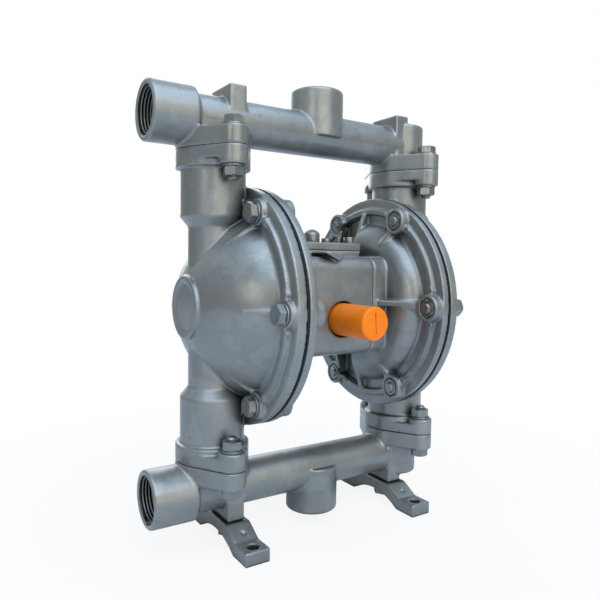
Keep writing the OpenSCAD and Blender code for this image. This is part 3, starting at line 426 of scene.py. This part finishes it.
# %% [markdown]
# The fasteners are zinc-plated steel: brighter and smoother than the paint, with a faint cloudiness. The
# shaft, spool and pilot pin are ground steel, brighter still and with a finer grain. The bushes and the
# spool's sleeve are turned bronze, a warm brown. The real grain of all three is finer than the picture
# shows, so it is drawn coarser.

# %% Metals of the small parts


def plain_metal(name, code, roughness, grain_mm, bump_mm):
    """A bare or plated metal with cloudy roughness and a fine grain."""
    mat, tree = start_material(name)
    here = add(tree, "ShaderNodeTexCoord").outputs["Object"]
    cloud = speckle(tree, here, grain_mm, 0.3, 0.7)
    rough = add(tree, "ShaderNodeMapRange", None, {"To Min": roughness - 0.06, "To Max": roughness + 0.08},
                {"Value": cloud})
    colour = coat(tree, code, "#6c7070", cloud, 0.3)
    bump = add(tree, "ShaderNodeBump", None, {"Strength": 0.2, "Distance": bump_mm * MM}, {"Height": cloud})
    shader = add(tree, "ShaderNodeBsdfPrincipled", None, {"Metallic": 0.9},
                 {"Base Color": colour, "Roughness": rough.outputs["Result"],
                  "Normal": bump.outputs["Normal"]})
    add(tree, "ShaderNodeOutputMaterial", links={"Surface": shader.outputs[0]})
    return mat


ZINC = plain_metal("zinc_plated_steel", "#8f9391", 0.30, 3.0, 0.05)
GROUND = plain_metal("ground_shaft_steel", "#b4b5b6", 0.25, 0.6, 0.02)
BRONZE = plain_metal("turned_bronze", "#a3753f", 0.35, 1.0, 0.03)
print(ZINC.name, GROUND.name, BRONZE.name)

# %% [markdown]
# Rubber and plastics take the skin of their mould, so they look even beside the paint. The diaphragms and
# seals are matt black rubber, and the balls are red rubber. Seats and cages are natural polypropylene,
# which lets a little light in. The silencer is orange plastic with a satin skin. The real grain of these
# skins is finer than the picture shows, so it too is drawn coarser.

# %% Rubber and plastics


def moulded(name, code, second, roughness, grain_mm, waxy=0.0, gloss=0.5):
    """A moulded rubber or plastic, clouded with a second colour; waxy lets light in under its skin."""
    mat, tree = start_material(name)
    here = add(tree, "ShaderNodeTexCoord").outputs["Object"]
    colour = coat(tree, code, second, speckle(tree, here, 9, 0.3, 0.7))
    grain = add(tree, "ShaderNodeTexNoise", None, {"Scale": per_mm(grain_mm)}, {"Vector": here})
    bump = add(tree, "ShaderNodeBump", None, {"Strength": 0.15, "Distance": 0.08 * MM},
               {"Height": grain.outputs["Fac"]})
    values = {"Roughness": roughness, "IOR": 1.5, "Specular IOR Level": gloss}
    if waxy:
        values["Subsurface Weight"] = waxy
        values["Subsurface Radius"] = (1.0, 0.35, 0.1)
        values["Subsurface Scale"] = 2 * MM
    shader = add(tree, "ShaderNodeBsdfPrincipled", None, values,
                 {"Base Color": colour, "Normal": bump.outputs["Normal"]})
    add(tree, "ShaderNodeOutputMaterial", links={"Surface": shader.outputs[0]})
    return mat


RUBBER = moulded("black_moulded_rubber", "#17191a", "#242628", 0.65, 0.7, gloss=0.2)
RED_RUBBER = moulded("red_ball_rubber", "#8a2b20", "#7a241b", 0.55, 0.8)
POLYPROPYLENE = moulded("natural_polypropylene", "#d9d3c4", "#cfc8b8", 0.45, 1.0, waxy=0.1)
ORANGE = moulded("orange_moulded_plastic", "#ff8a12", "#fb7e0a", 0.33, 0.9, gloss=0.3)
print(RUBBER.name, RED_RUBBER.name, POLYPROPYLENE.name, ORANGE.name)

# %% [markdown]
# Three steps serve every piece that is rebuilt: a copy of the CAD mesh with its loose triangles joined, a
# plain mesh made of whatever the modifiers give, and one material with smooth shading.

# %% Working on copies
JOIN_WITHIN = 0.001 * MM


def merged_copy(node, name):
    """A copy of a CAD node with its loose triangles joined."""
    mesh = nodes[node].data.copy()
    piece = bpy.data.objects.new(name, mesh)
    scene.collection.objects.link(piece)
    work = bmesh.new()
    work.from_mesh(mesh)
    bmesh.ops.remove_doubles(work, verts=work.verts, dist=JOIN_WITHIN)
    work.to_mesh(mesh)
    work.free()
    return piece


def settle(piece):
    """Replaces a piece's mesh by what its modifiers make of it, and removes them."""
    graph = bpy.context.evaluated_depsgraph_get()
    mesh = bpy.data.meshes.new_from_object(piece.evaluated_get(graph))
    piece.modifiers.clear()
    piece.data = mesh
    return mesh


def surface(mesh, skin, sharp_degrees=None):
    """Gives a mesh its one material and smooth shading, with edges above that angle kept sharp."""
    mesh.materials.clear()
    mesh.materials.append(skin)
    mesh.shade_smooth()
    if sharp_degrees:
        mesh.set_sharp_from_angle(angle=math.radians(sharp_degrees))


print("a merged copy joins points within", round(JOIN_WITHIN / MM, 4), "mm")

# %% [markdown]
# A casting has no sharp edge, because molten metal and sand both refuse one. The exact model has sharp
# ones. A Bevel modifier could round them, but it overlaps itself where short edges meet. So each
# casting is rebuilt as a fine skin of small squares, which is then relaxed: every outer edge turns round
# and every inner corner gets a fillet. The machined bores stay crisp, because their points are left out of
# the relaxing.

# %% Soft-edged castings
COARSE_SKIN = 0.85 * MM
FINE_SKIN = 0.75 * MM
RELAX_PASSES = 4
BORE_MARGIN = 1.0 * MM


def cast(node, square, keep, crisp=None, extra=None):
    """Stands a soft-edged casting in for a CAD node.

    The skin has squares of that size and is then thinned to the share keep. Crisp says which points stay
    where they are, and extra adds closed forms before the skin is made."""
    piece = merged_copy(node, node + "_cast")
    if extra:
        extra(piece.data)
    remesh = piece.modifiers.new("skin", "REMESH")
    remesh.mode = "VOXEL"
    remesh.voxel_size = square
    mesh = settle(piece)
    group = piece.vertex_groups.new(name="soft")
    points = np.empty(len(mesh.vertices) * 3)
    mesh.vertices.foreach_get("co", points)
    points = points.reshape(-1, 3)
    soft = ~crisp(points) if crisp else np.ones(len(points), bool)
    group.add(np.flatnonzero(soft).tolist(), 1.0, "REPLACE")
    relax = piece.modifiers.new("relax", "SMOOTH")
    relax.vertex_group = "soft"
    relax.factor = 0.5
    relax.iterations = RELAX_PASSES
    thin = piece.modifiers.new("thin", "DECIMATE")
    thin.ratio = keep
    mesh = settle(piece)
    piece.vertex_groups.clear()
    surface(mesh, PAINT)
    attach(piece, "root")
    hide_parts(node)
    print(piece.name, len(mesh.polygons), "faces")


def port_bores(points):
    """Points on the threaded bores of the manifolds."""
    across = np.abs(np.abs(points[:, 2] - SHAFT_Z) - PORT_RISE)
    radius = np.hypot(points[:, 1], across)
    return (points[:, 0] < PORT_X + PORT_DEPTH) & (radius < PORT_RADIUS + BORE_MARGIN)


for node in ("outlet_manifold", "inlet_manifold"):
    cast(node, COARSE_SKIN, 0.5, crisp=port_bores)
for node in ("air_chamber_left", "air_chamber_right"):
    cast(node, COARSE_SKIN, 0.45)
for node in ("centre_block", "foot_left", "foot_right", "valve_cover", "vent_cap"):
    cast(node, FINE_SKIN, 0.5)

# %% [markdown]
# A thin tapered spur runs from each clamp boss of a fluid cap up onto the dome, where it dies away. It
# stiffens the boss. Each spur is a wedge whose top edge leaves the boss and ends on the dome, and the skin
# then welds it to the cap.

# %% Spurs of the fluid caps
CLAMP_COUNT = 6
CLAMP_INSET = 10.8 * MM
CLAMP_RADIUS = RIM_RADIUS - CLAMP_INSET
BOSS_RADIUS = 9.0 * MM
BOSS_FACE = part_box("clamp_washers_right")[0][0]
FLANGE_THICK = 8.1 * MM
CAP_FACE = SEAM_X + FLANGE_THICK
DOME_RISE = 41.8 * MM
DOME_BASE = CLAMP_RADIUS - BOSS_RADIUS
DOME_RADIUS = (DOME_BASE ** 2 + DOME_RISE ** 2) / (2 * DOME_RISE)
DOME_CENTRE = CAP_FACE + DOME_RISE - DOME_RADIUS
SPUR_WIDTH = 6.6 * MM
SPUR_THINNEST = 0.12
SPUR_TIP = DOME_BASE - 16 * MM
SPUR_TOP = BOSS_FACE - 0.3 * MM
SPUR_FOOT = CAP_FACE - MM


def outward(angle):
    """Unit vector away from the shaft, at that angle from the front."""
    return Vector((0, -math.cos(angle), math.sin(angle)))


def sideways(angle):
    """Unit vector round the shaft, square to outward."""
    return Vector((0, math.sin(angle), math.cos(angle)))


def dome_at(radius):
    """How far out the dome lies at that distance from the shaft."""
    return DOME_CENTRE + math.sqrt(DOME_RADIUS ** 2 - radius ** 2)


SPUR_OUTLINE = [
    (CLAMP_RADIUS, SPUR_FOOT), (CLAMP_RADIUS, SPUR_TOP), (DOME_BASE, SPUR_TOP),
    (SPUR_TIP, dome_at(SPUR_TIP) + 0.3 * MM), (SPUR_TIP, dome_at(SPUR_TIP) - 3 * MM),
    (DOME_BASE, SPUR_FOOT),
]


def spur(work, sign, angle):
    """Adds one spur of the left (-1) or right (+1) cap as a closed wedge."""
    walls = []
    for hand in (-1, 1):
        wall = []
        for radius, rise in SPUR_OUTLINE:
            share = max(SPUR_THINNEST, (radius - SPUR_TIP) / (CLAMP_RADIUS - SPUR_TIP))
            side = hand * SPUR_WIDTH / 2 * share * sideways(angle)
            wall.append(work.verts.new(Vector((sign * rise, 0, SHAFT_Z)) + radius * outward(angle) + side))
        walls.append(wall)
    near, far = walls
    faces = [work.faces.new(near), work.faces.new(far[::-1])]
    for i in range(len(near)):
        j = (i + 1) % len(near)
        faces.append(work.faces.new((near[i], far[i], far[j], near[j])))
    bmesh.ops.recalc_face_normals(work, faces=faces)


def spurs(sign):
    """A function that adds all the spurs of one cap to its mesh."""
    def extra(mesh):
        """Adds the spurs in one pass."""
        work = bmesh.new()
        work.from_mesh(mesh)
        for step in range(CLAMP_COUNT):
            spur(work, sign, 2 * math.pi * step / CLAMP_COUNT)
        work.to_mesh(mesh)
        work.free()
    return extra


for node, sign in (("fluid_cap_left", -1), ("fluid_cap_right", 1)):
    cast(node, COARSE_SKIN, 0.45, extra=spurs(sign))

# %% [markdown]
# Several pieces are grown by Geometry Nodes: a tree with named inputs runs on an empty mesh, ends in real
# geometry with its material, and what it makes is kept as a plain mesh. It is grown round the origin and
# then put in its place by turning the mesh itself, so that the object stays at the origin.

# %% Growing a piece from a tree


def group_tree(name, inputs):
    """A geometry node group with named inputs; returns the tree, its input node and its output node."""
    tree = bpy.data.node_groups.new(name, "GeometryNodeTree")
    for label, kind, value in inputs:
        socket = tree.interface.new_socket(label, in_out="INPUT", socket_type=kind)
        if value is not None:
            socket.default_value = value
    tree.interface.new_socket("Geometry", in_out="OUTPUT", socket_type="NodeSocketGeometry")
    return tree, tree.nodes.new("NodeGroupInput"), tree.nodes.new("NodeGroupOutput")


def finish_tree(tree, source, material, output):
    """Ends a tree with real geometry and its material."""
    real = add(tree, "GeometryNodeRealizeInstances", links={"Geometry": source})
    painted = add(tree, "GeometryNodeSetMaterial", None, None,
                  {"Geometry": real.outputs[0], "Material": material})
    tree.links.new(painted.outputs[0], output.inputs["Geometry"])


def grow(name, tree, material, values):
    """Runs a tree on an empty mesh and keeps what it makes as a plain mesh."""
    piece = bpy.data.objects.new(name, bpy.data.meshes.new(name))
    scene.collection.objects.link(piece)
    modifier = piece.modifiers.new("tree", "NODES")
    modifier.node_group = tree
    names = {s.name: s.identifier for s in tree.interface.items_tree if s.in_out == "INPUT"}
    modifier[names["Material"]] = material
    for label, value in values.items():
        modifier[names[label]] = value
    settle(piece)
    return piece


def place(piece, matrix_rows):
    """Moves a finished mesh to its place with the object left at the origin."""
    piece.data.transform(Matrix(matrix_rows))
    piece.data.update()


print("ready to grow pieces from trees")

# %% [markdown]
# A pipe thread is a V-shaped ridge that climbs along a helix. A Screw modifier could sweep it. Here a
# spiral curve in a tree carries a triangle along, because its sizes are then named inputs and one tree
# serves all three threads. The triangle's point faces the axis of the port. The metal is machined
# aluminium, bright on the crests, with painted shade that darkens it towards the roots.

# %% Port threads
INCH = 25.4 * MM
PITCH = INCH / 11
RIDGE = 1.45 * MM
AIR_PITCH = INCH / 19
AIR_RIDGE = 0.84 * MM
LEAD_IN = 0.4 * MM
RUN_OUT_TURNS = 1.2
# heights above the bore's wall at which the metal is brightest and the painted shade of the roots darkest
CREST_HEIGHT = 1.3 * MM
ROOT_HEIGHT = 0.5 * MM

thread_tree, given, result = group_tree("helical_thread", [
    ("Material", "NodeSocketMaterial", None), ("Radius", "NodeSocketFloat", PORT_RADIUS),
    ("Pitch", "NodeSocketFloat", PITCH), ("Turns", "NodeSocketFloat", 7.0),
    ("Ridge", "NodeSocketFloat", RIDGE),
])
climb = add(thread_tree, "ShaderNodeMath", {"operation": "MULTIPLY"}, None,
            {0: given.outputs["Pitch"], 1: given.outputs["Turns"]})
spiral = add(thread_tree, "GeometryNodeCurveSpiral", None, {"Resolution": 64},
             {"Rotations": given.outputs["Turns"], "Start Radius": given.outputs["Radius"],
              "End Radius": given.outputs["Radius"], "Height": climb.outputs[0]})
upright = add(thread_tree, "GeometryNodeSetCurveNormal", {"mode": "Z_UP"}, None,
              {"Curve": spiral.outputs[0]})
tooth = add(thread_tree, "GeometryNodeCurvePrimitiveCircle", None, {"Resolution": 3},
            {"Radius": given.outputs["Ridge"]})
ridge = add(thread_tree, "GeometryNodeCurveToMesh", None, {"Fill Caps": True},
            {"Curve": upright.outputs[0], "Profile Curve": tooth.outputs[0]})
finish_tree(thread_tree, ridge.outputs[0], given.outputs["Material"], result)


def thread_metal(name, mount, wall):
    """Machined aluminium, with painted shade that darkens it towards the roots, by its distance from the
    axis of a mount's bore.
    """
    mat, tree = start_material(name)
    here = add(tree, "ShaderNodeTexCoord").outputs["Object"]
    radius = off_axis(tree, here, mount["pos_m"], mount["axis"])
    depth = add(tree, "ShaderNodeMapRange", None,
                {"From Min": wall - CREST_HEIGHT, "From Max": wall - ROOT_HEIGHT}, {"Value": radius})
    # painted shade: the metal darkens from the crests towards the roots
    colour = coat(tree, "#b3b4ad", "#171512", depth.outputs["Result"])
    shader = add(tree, "ShaderNodeBsdfPrincipled", None, {"Metallic": 0.6, "Roughness": 0.4},
                 {"Base Color": colour})
    add(tree, "ShaderNodeOutputMaterial", links={"Surface": shader.outputs[0]})
    return mat


def cut_thread(name, mount, pitch, ridge, rows):
    """A thread ridge on the wall of a mount's bore, with rows turning it into the bore."""
    depth = mount["dims"]["length_mm"] * MM
    radius = mount["dims"]["r_mm"] * MM
    turns = (depth - LEAD_IN) / pitch - RUN_OUT_TURNS
    thread = grow(name, thread_tree, thread_metal(name + "_metal", mount, radius),
                  {"Radius": radius, "Pitch": pitch, "Ridge": ridge, "Turns": turns})
    place(thread, rows)
    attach(thread, "root")
    print(name, round(turns, 1), "turns,", len(thread.data.polygons), "faces")


for name, mount in (("outlet_thread", mounts["outlet_port"]), ("inlet_thread", mounts["inlet_port"])):
    x, y, z = mount["pos_m"]
    cut_thread(name, mount, PITCH, RIDGE,
               ((0, 0, 1, x + LEAD_IN), (0, 1, 0, y), (-1, 0, 0, z), (0, 0, 0, 1)))
x, y, z = mounts["air_inlet"]["pos_m"]
cut_thread("air_inlet_thread", mounts["air_inlet"], AIR_PITCH, AIR_RIDGE,
           ((1, 0, 0, x), (0, 0, -1, y - LEAD_IN), (0, 1, 0, z), (0, 0, 0, 1)))

# %% [markdown]
# The bolts are plain M8 hexagon bolts. A real head isn't a bare prism: its corners are turned off by a 30
# degree cone, it stands on a thin round washer face, and the thread's end is chamfered. One bolt and one
# nut are lofted through rings of points in mesh code, where a chamfer or a groove is just one more ring.

# %% Bolt and nut
THREAD = 8 * MM
THREAD_PITCH = 1.25 * MM
THREAD_LENGTH = 8 * MM
THREAD_GROOVES = 5
# each point of a groove as its share of the pitch and its depth
GROOVE_OUTLINE = ((0.1, 0), (0.4, 0), (0.75, 0.6 * MM))
FIRST_GROOVE = 0.8 * MM
END_CHAMFER = 0.9 * MM
ACROSS_FLATS = 12.8 * MM
HEAD = 0.66 * THREAD
NUT = 0.8 * THREAD
ROUND = 48
CONE = math.radians(30)
CONE_RADIUS = 0.48 * ACROSS_FLATS
WASHER_FACE = 0.3 * MM
WASHER_FACE_RADIUS = 0.47 * ACROSS_FLATS
DISH_RADIUS = 0.3 * ACROSS_FLATS
DISH_DEPTH = 0.15 * MM


def loft(name, rings):
    """A closed mesh through rings of points, with its first and last ring filled."""
    work = bmesh.new()
    rows = [[work.verts.new(p) for p in ring] for ring in rings]
    for low_row, high_row in zip(rows, rows[1:]):
        for i in range(len(low_row)):
            j = (i + 1) % len(low_row)
            work.faces.new((low_row[i], low_row[j], high_row[j], high_row[i]))
    work.faces.new(rows[0][::-1])
    work.faces.new(rows[-1])
    mesh = bpy.data.meshes.new(name)
    bmesh.ops.recalc_face_normals(work, faces=work.faces)
    work.to_mesh(mesh)
    work.free()
    return mesh


def ring(radius, z, count=ROUND):
    """A level ring of points."""
    angles = [2 * math.pi * i / count for i in range(count)]
    return [(radius * math.cos(a), radius * math.sin(a), z) for a in angles]


def hexagon(z, turned_off):
    """A hexagonal ring whose corners the cone turns off: +1 on top, -1 below, 0 not at all."""
    points = []
    for i in range(ROUND):
        angle = 2 * math.pi * i / ROUND
        radius = ACROSS_FLATS / 2 / math.cos((angle % (math.pi / 3)) - math.pi / 6)
        drop = (radius - CONE_RADIUS) * math.tan(CONE)
        points.append((radius * math.cos(angle), radius * math.sin(angle), z - turned_off * drop))
    return points


def hex_bolt(length):
    """Head above z = 0 and shank below it, its thread cut as grooves near the end."""
    shank = THREAD / 2
    grooves = []
    for turn in range(THREAD_GROOVES):
        z = -length + FIRST_GROOVE + turn * THREAD_PITCH
        for share, depth in GROOVE_OUTLINE:
            grooves.append(ring(shank - depth, z + share * THREAD_PITCH))
    return loft("hex_bolt", [
        ring(shank - END_CHAMFER, -length), *grooves, ring(shank, -length + THREAD_LENGTH), ring(shank, 0),
        ring(WASHER_FACE_RADIUS, 0), ring(WASHER_FACE_RADIUS, WASHER_FACE), hexagon(WASHER_FACE, 0),
        hexagon(HEAD, 1), ring(CONE_RADIUS, HEAD), ring(DISH_RADIUS, HEAD - DISH_DEPTH),
    ])


def hex_nut():
    """A nut from z = 0 to its height, with a real hole."""
    hole = THREAD / 2 + 0.03 * MM
    chamfer = 0.5 * MM
    mesh = loft("hex_nut", [
        ring(hole, chamfer), ring(hole + chamfer, 0), ring(CONE_RADIUS, 0), hexagon(0, -1),
        hexagon(NUT, 1), ring(CONE_RADIUS, NUT), ring(hole + chamfer, NUT), ring(hole, NUT - chamfer),
    ])
    work = bmesh.new()
    work.from_mesh(mesh)
    caps = [f for f in work.faces if len(f.verts) == ROUND]
    bmesh.ops.delete(work, geom=caps, context="FACES_ONLY")
    ends = [e for e in work.edges if e.is_boundary]
    bmesh.ops.bridge_loops(work, edges=ends)
    bmesh.ops.recalc_face_normals(work, faces=work.faces)
    work.to_mesh(mesh)
    work.free()
    return mesh


print("bolt head", round(HEAD / MM, 2), "mm high,", round(ACROSS_FLATS / MM, 1), "mm across flats")

# %% [markdown]
# One tree sets any part on a ring or on the corners of a rectangle and gives each copy its own small turn,
# because no two bolts stop at the same angle. The turn comes from a random value with a fixed seed.

# %% Fastener trees


def fastener_tree(name, on_ring):
    """Copies of a part on a ring of points, or else on the four corners of a rectangle."""
    if on_ring:
        shape = [("Radius", "NodeSocketFloat", 0.05), ("Count", "NodeSocketInt", 6)]
    else:
        shape = [("Size X", "NodeSocketFloat", 0.1), ("Size Y", "NodeSocketFloat", 0.1)]
    tree, given, result = group_tree(name, [
        ("Material", "NodeSocketMaterial", None), ("Part", "NodeSocketObject", None),
        ("Loose Turn", "NodeSocketFloat", 0.0), ("Seed", "NodeSocketInt", 3), *shape])
    if on_ring:
        points = add(tree, "GeometryNodeMeshCircle", None, None,
                     {"Vertices": given.outputs["Count"], "Radius": given.outputs["Radius"]})
    else:
        points = add(tree, "GeometryNodeMeshGrid", None, {"Vertices X": 2, "Vertices Y": 2},
                     {"Size X": given.outputs["Size X"], "Size Y": given.outputs["Size Y"]})
    loose = given.outputs["Loose Turn"]
    negative = add(tree, "ShaderNodeMath", {"operation": "MULTIPLY"}, {1: -1.0}, {0: loose})
    turn = add(tree, "FunctionNodeRandomValue", {"data_type": "FLOAT"}, None,
               {2: negative.outputs[0], 3: loose, 8: given.outputs["Seed"]})
    spin = add(tree, "ShaderNodeCombineXYZ", links={"Z": turn.outputs[1]})
    part = add(tree, "GeometryNodeObjectInfo", links={"Object": given.outputs["Part"]})
    copies = add(tree, "GeometryNodeInstanceOnPoints", None, None,
                 {"Points": points.outputs[0], "Instance": part.outputs["Geometry"],
                  "Rotation": spin.outputs[0]})
    finish_tree(tree, copies.outputs[0], given.outputs["Material"], result)
    return tree


RING = fastener_tree("fasteners_on_a_ring", True)
CORNERS = fastener_tree("fasteners_on_corners", False)
print(RING.name, CORNERS.name)

# %% [markdown]
# Six bolts and six nuts clamp each fluid cap, and four bolts with their nuts hold each manifold. Each node
# of fasteners is replaced by one set of copies, grown level round the origin and then turned to face along
# the shaft or set at its height. The clamp nuts sit in hexagonal pockets, so they keep the pockets' angle.

# %% Bolts and nuts in place
# half the distance between the two bolts of a flange
EAR_Y = 33 * MM
HALF_FLAT = math.radians(30)


def fasten(node, mesh, tree, layout, rows, loose=0.0, seed=3):
    """Replaces a CAD node of fasteners by copies of one mesh, laid out by a tree and set in place."""
    name = node + "_zinc"
    part = bpy.data.objects.new(name + "_part", mesh)
    scene.collection.objects.link(part)
    piece = grow(name, tree, ZINC, {"Part": part, "Loose Turn": loose, "Seed": seed, **layout})
    bpy.data.objects.remove(part)
    place(piece, rows)
    piece.data.shade_smooth()
    piece.data.set_sharp_from_angle(angle=math.radians(28))
    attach(piece, "root")
    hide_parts(node)
    print(name, len(piece.data.polygons), "faces")


def along_shaft(sign, x):
    """Rows that turn a level layout to face outwards along the shaft, at the left (-1) or right (+1)."""
    return (0, 0, sign, x), (-1, 0, 0, 0), (0, -sign, 0, SHAFT_Z), (0, 0, 0, 1)


def at_height(up, z):
    """Rows that set a level layout at a height, facing up (+1) or down (-1)."""
    return (1, 0, 0, 0), (0, up, 0, 0), (0, 0, up, z), (0, 0, 0, 1)


clamp_ring = {"Radius": CLAMP_RADIUS, "Count": CLAMP_COUNT}
for side, sign in (("left", -1), ("right", 1)):
    tip, reach = sorted(abs(corner[0]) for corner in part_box("clamp_bolts_" + side))
    seat = reach - HEAD
    fasten("clamp_bolts_" + side, hex_bolt(seat - tip), RING, clamp_ring, along_shaft(sign, sign * seat),
           HALF_FLAT, 5 + sign)
    inner = min(abs(corner[0]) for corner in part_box("clamp_nuts_" + side))
    nut = hex_nut()
    nut.transform(Matrix.Rotation(HALF_FLAT, 4, "Z"))
    fasten("clamp_nuts_" + side, nut, RING, clamp_ring, along_shaft(sign, sign * inner))

ears = {"Size X": 2 * TUBE_X, "Size Y": 2 * EAR_Y}
for end, up in (("top", 1), ("bottom", -1)):
    tip, reach = sorted((corner[2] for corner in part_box("manifold_bolts_" + end)), reverse=up < 0)
    seat = reach - up * HEAD
    fasten("manifold_bolts_" + end, hex_bolt(abs(seat - tip)), CORNERS, ears, at_height(up, seat),
           HALF_FLAT, 9 + up)
    low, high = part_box("manifold_nuts_" + end)
    inner = low[2] if up > 0 else high[2]
    fasten("manifold_nuts_" + end, hex_nut(), CORNERS, ears, at_height(up, inner), HALF_FLAT, 12 + up)

# %% [markdown]
# The silencer is a moulded orange plug. Its outer rim is well rounded, and its face has one short slot for
# a screwdriver. The plug is turned from rings of points, and a Boolean takes the slot out of it.

# %% Silencer
BLOCK_FRONT = -40 * MM
PLUG_STEM = 9.35 * MM
PLUG_BORE = 6.4 * MM
PLUG_ROUND = 2.2 * MM
PLUG_FRONT_WALL = 6 * MM
PLUG_SUNK = 2.2 * MM
PLUG_CLEAR = 0.02 * MM
PLUG_SIDES = 96
SLOT_SIZE = (1.1, 15.5, 1.8)
SLOT_TURN = math.radians(4)


def turned_plug(radius, length, stem_end):
    """The plug round the Z axis: blind bore, stem in the block, and a head with a rounded rim."""
    outline = [
        (PLUG_BORE, length - PLUG_FRONT_WALL), (PLUG_BORE, stem_end), (PLUG_STEM, stem_end),
        (PLUG_STEM, -PLUG_SUNK), (radius, -PLUG_SUNK),
    ]
    for degrees in range(0, 91, 15):
        inset = PLUG_ROUND * (1 - math.cos(math.radians(degrees)))
        drop = PLUG_ROUND * (1 - math.sin(math.radians(degrees)))
        outline.append((radius - inset, length - drop))
    return loft("silencer_moulded", [ring(r, z, PLUG_SIDES) for r, z in outline])


def slot_block(length):
    """A block in the shape of the slot, centred on the plug's face."""
    size = Matrix.Diagonal((*[s * MM for s in SLOT_SIZE], 1))
    work = bmesh.new()
    bmesh.ops.create_cube(work, size=1, matrix=Matrix.Translation((0, 0, length))
                          @ Matrix.Rotation(SLOT_TURN, 4, "Z") @ size)
    mesh = bpy.data.meshes.new("slot")
    work.to_mesh(mesh)
    work.free()
    return mesh


low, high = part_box("silencer")
plug_length = BLOCK_FRONT - low[1]
plug_mesh = turned_plug((high[0] - low[0]) / 2 - PLUG_CLEAR, plug_length, BLOCK_FRONT - high[1])
plug = bpy.data.objects.new("silencer_moulded", plug_mesh)
slot = bpy.data.objects.new("slot", slot_block(plug_length))
scene.collection.objects.link(plug)
scene.collection.objects.link(slot)
cut = plug.modifiers.new("slot", "BOOLEAN")
cut.object = slot
cut.solver = "EXACT"
settle(plug)
bpy.data.objects.remove(slot)
place(plug, ((1, 0, 0, 0), (0, 0, -1, BLOCK_FRONT), (0, 1, 0, (low[2] + high[2]) / 2), (0, 0, 0, 1)))
surface(plug.data, ORANGE, sharp_degrees=40)
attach(plug, "root")
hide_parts("silencer")
print("silencer", len(plug.data.polygons), "faces")

# %% [markdown]
# Stamped washers, screw heads and the heads under the feet have edges that are barely broken. A Bevel
# modifier does that: it looks for edges that turn by more than 40 degrees, so the facets of a round wall
# are left in peace.

# %% Broken edges


def break_edges(node, width):
    """Stands a copy with bevelled edges in for a CAD node of small steel parts."""
    piece = merged_copy(node, node + "_zinc")
    edges = piece.modifiers.new("edges", "BEVEL")
    edges.width = width
    edges.segments = 2
    edges.limit_method = "ANGLE"
    edges.angle_limit = math.radians(40)
    mesh = settle(piece)
    surface(mesh, ZINC, sharp_degrees=35)
    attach(piece, "root")
    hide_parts(node)
    print(piece.name, len(mesh.polygons), "faces")


for group in ("clamp_washers_left", "clamp_washers_right", "manifold_washers_top",
              "manifold_washers_bottom"):
    break_edges(group, 0.25 * MM)
for group in ("valve_cover_screws", "foot_bolts"):
    break_edges(group, 0.45 * MM)

# %% [markdown]
# A diaphragm is clamped at its rim and at its middle, and the shaft pulls the middle to and fro. Each
# diaphragm is cut into narrow sectors round the shaft, and each sector's two cuts are closed.

# %% Diaphragms in sectors
SECTORS = 12
CUT_WITHIN = 0.0001 * MM
PLATE_RADIUS = max(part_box(plate)[1][2] - SHAFT_Z for plate in ("outer_plate_right", "inner_plate_right"))


def cut_sector(mesh, middle_angle):
    """Keeps one sector of a mesh, closes its two cuts and returns how many edges stay open."""
    work = bmesh.new()
    work.from_mesh(mesh)
    for hand in (-1, 1):
        facing = hand * sideways(middle_angle + hand * math.pi / SECTORS)
        halves = bmesh.ops.bisect_plane(
            work, geom=work.verts[:] + work.edges[:] + work.faces[:], dist=CUT_WITHIN,
            plane_co=SHAFT_CENTRE, plane_no=facing, clear_outer=True)
        rim = [e for e in halves["geom_cut"] if isinstance(e, bmesh.types.BMEdge)]
        bmesh.ops.triangle_fill(work, edges=rim, use_beauty=True)
    bmesh.ops.recalc_face_normals(work, faces=work.faces)
    work.to_mesh(mesh)
    open_edges = sum(not e.is_manifold for e in work.edges)
    work.free()
    return open_edges


for node in ("diaphragm_left", "diaphragm_right"):
    whole = merged_copy(node, node + "_whole")
    open_edges = 0
    for step in range(SECTORS):
        angle = 2 * math.pi * step / SECTORS
        sector = bpy.data.objects.new("%s_sector_%02d" % (node, step + 1), whole.data.copy())
        scene.collection.objects.link(sector)
        open_edges += cut_sector(sector.data, angle)
        surface(sector.data, RUBBER, sharp_degrees=35)
        end = SHAFT_CENTRE + PLATE_RADIUS * outward(angle)
        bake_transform(sector)
        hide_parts(node)
    bpy.data.objects.remove(whole)
    print(node, SECTORS, "sectors,", open_edges, "open edges")

# %% [markdown]
# The pieces whose CAD shape is already right keep it and only change their finish: the inner parts, seats,
# cages and balls. The pump was sprayed after it was put together, so the edges of three gaskets carry
# paint.

# %% Finishes of the carried-over pieces
FINISH = {
    "painted_casting": PAINT, "zinc_steel": ZINC, "ground_steel": GROUND, "bronze": BRONZE,
    "black_rubber": RUBBER, "red_rubber": RED_RUBBER, "white_polypropylene": POLYPROPYLENE,
    "orange_plastic": ORANGE,
}
PAINTED_OVER = ("hub_gasket_left", "hub_gasket_right", "valve_cover_gasket")
finishes = {s["node"]: FINISH[s["material_slot"]] for s in frame["record"]["subparts"]}
for name, thing in nodes.items():
    for material_slot in thing.material_slots:
        material_slot.material = PAINT if name in PAINTED_OVER else finishes[name]
print("finished", len(nodes), "nodes")

# %% [markdown]
# The last cell measures the size of the dressed pump.

# %% Size of the dressed pump
low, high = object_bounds()
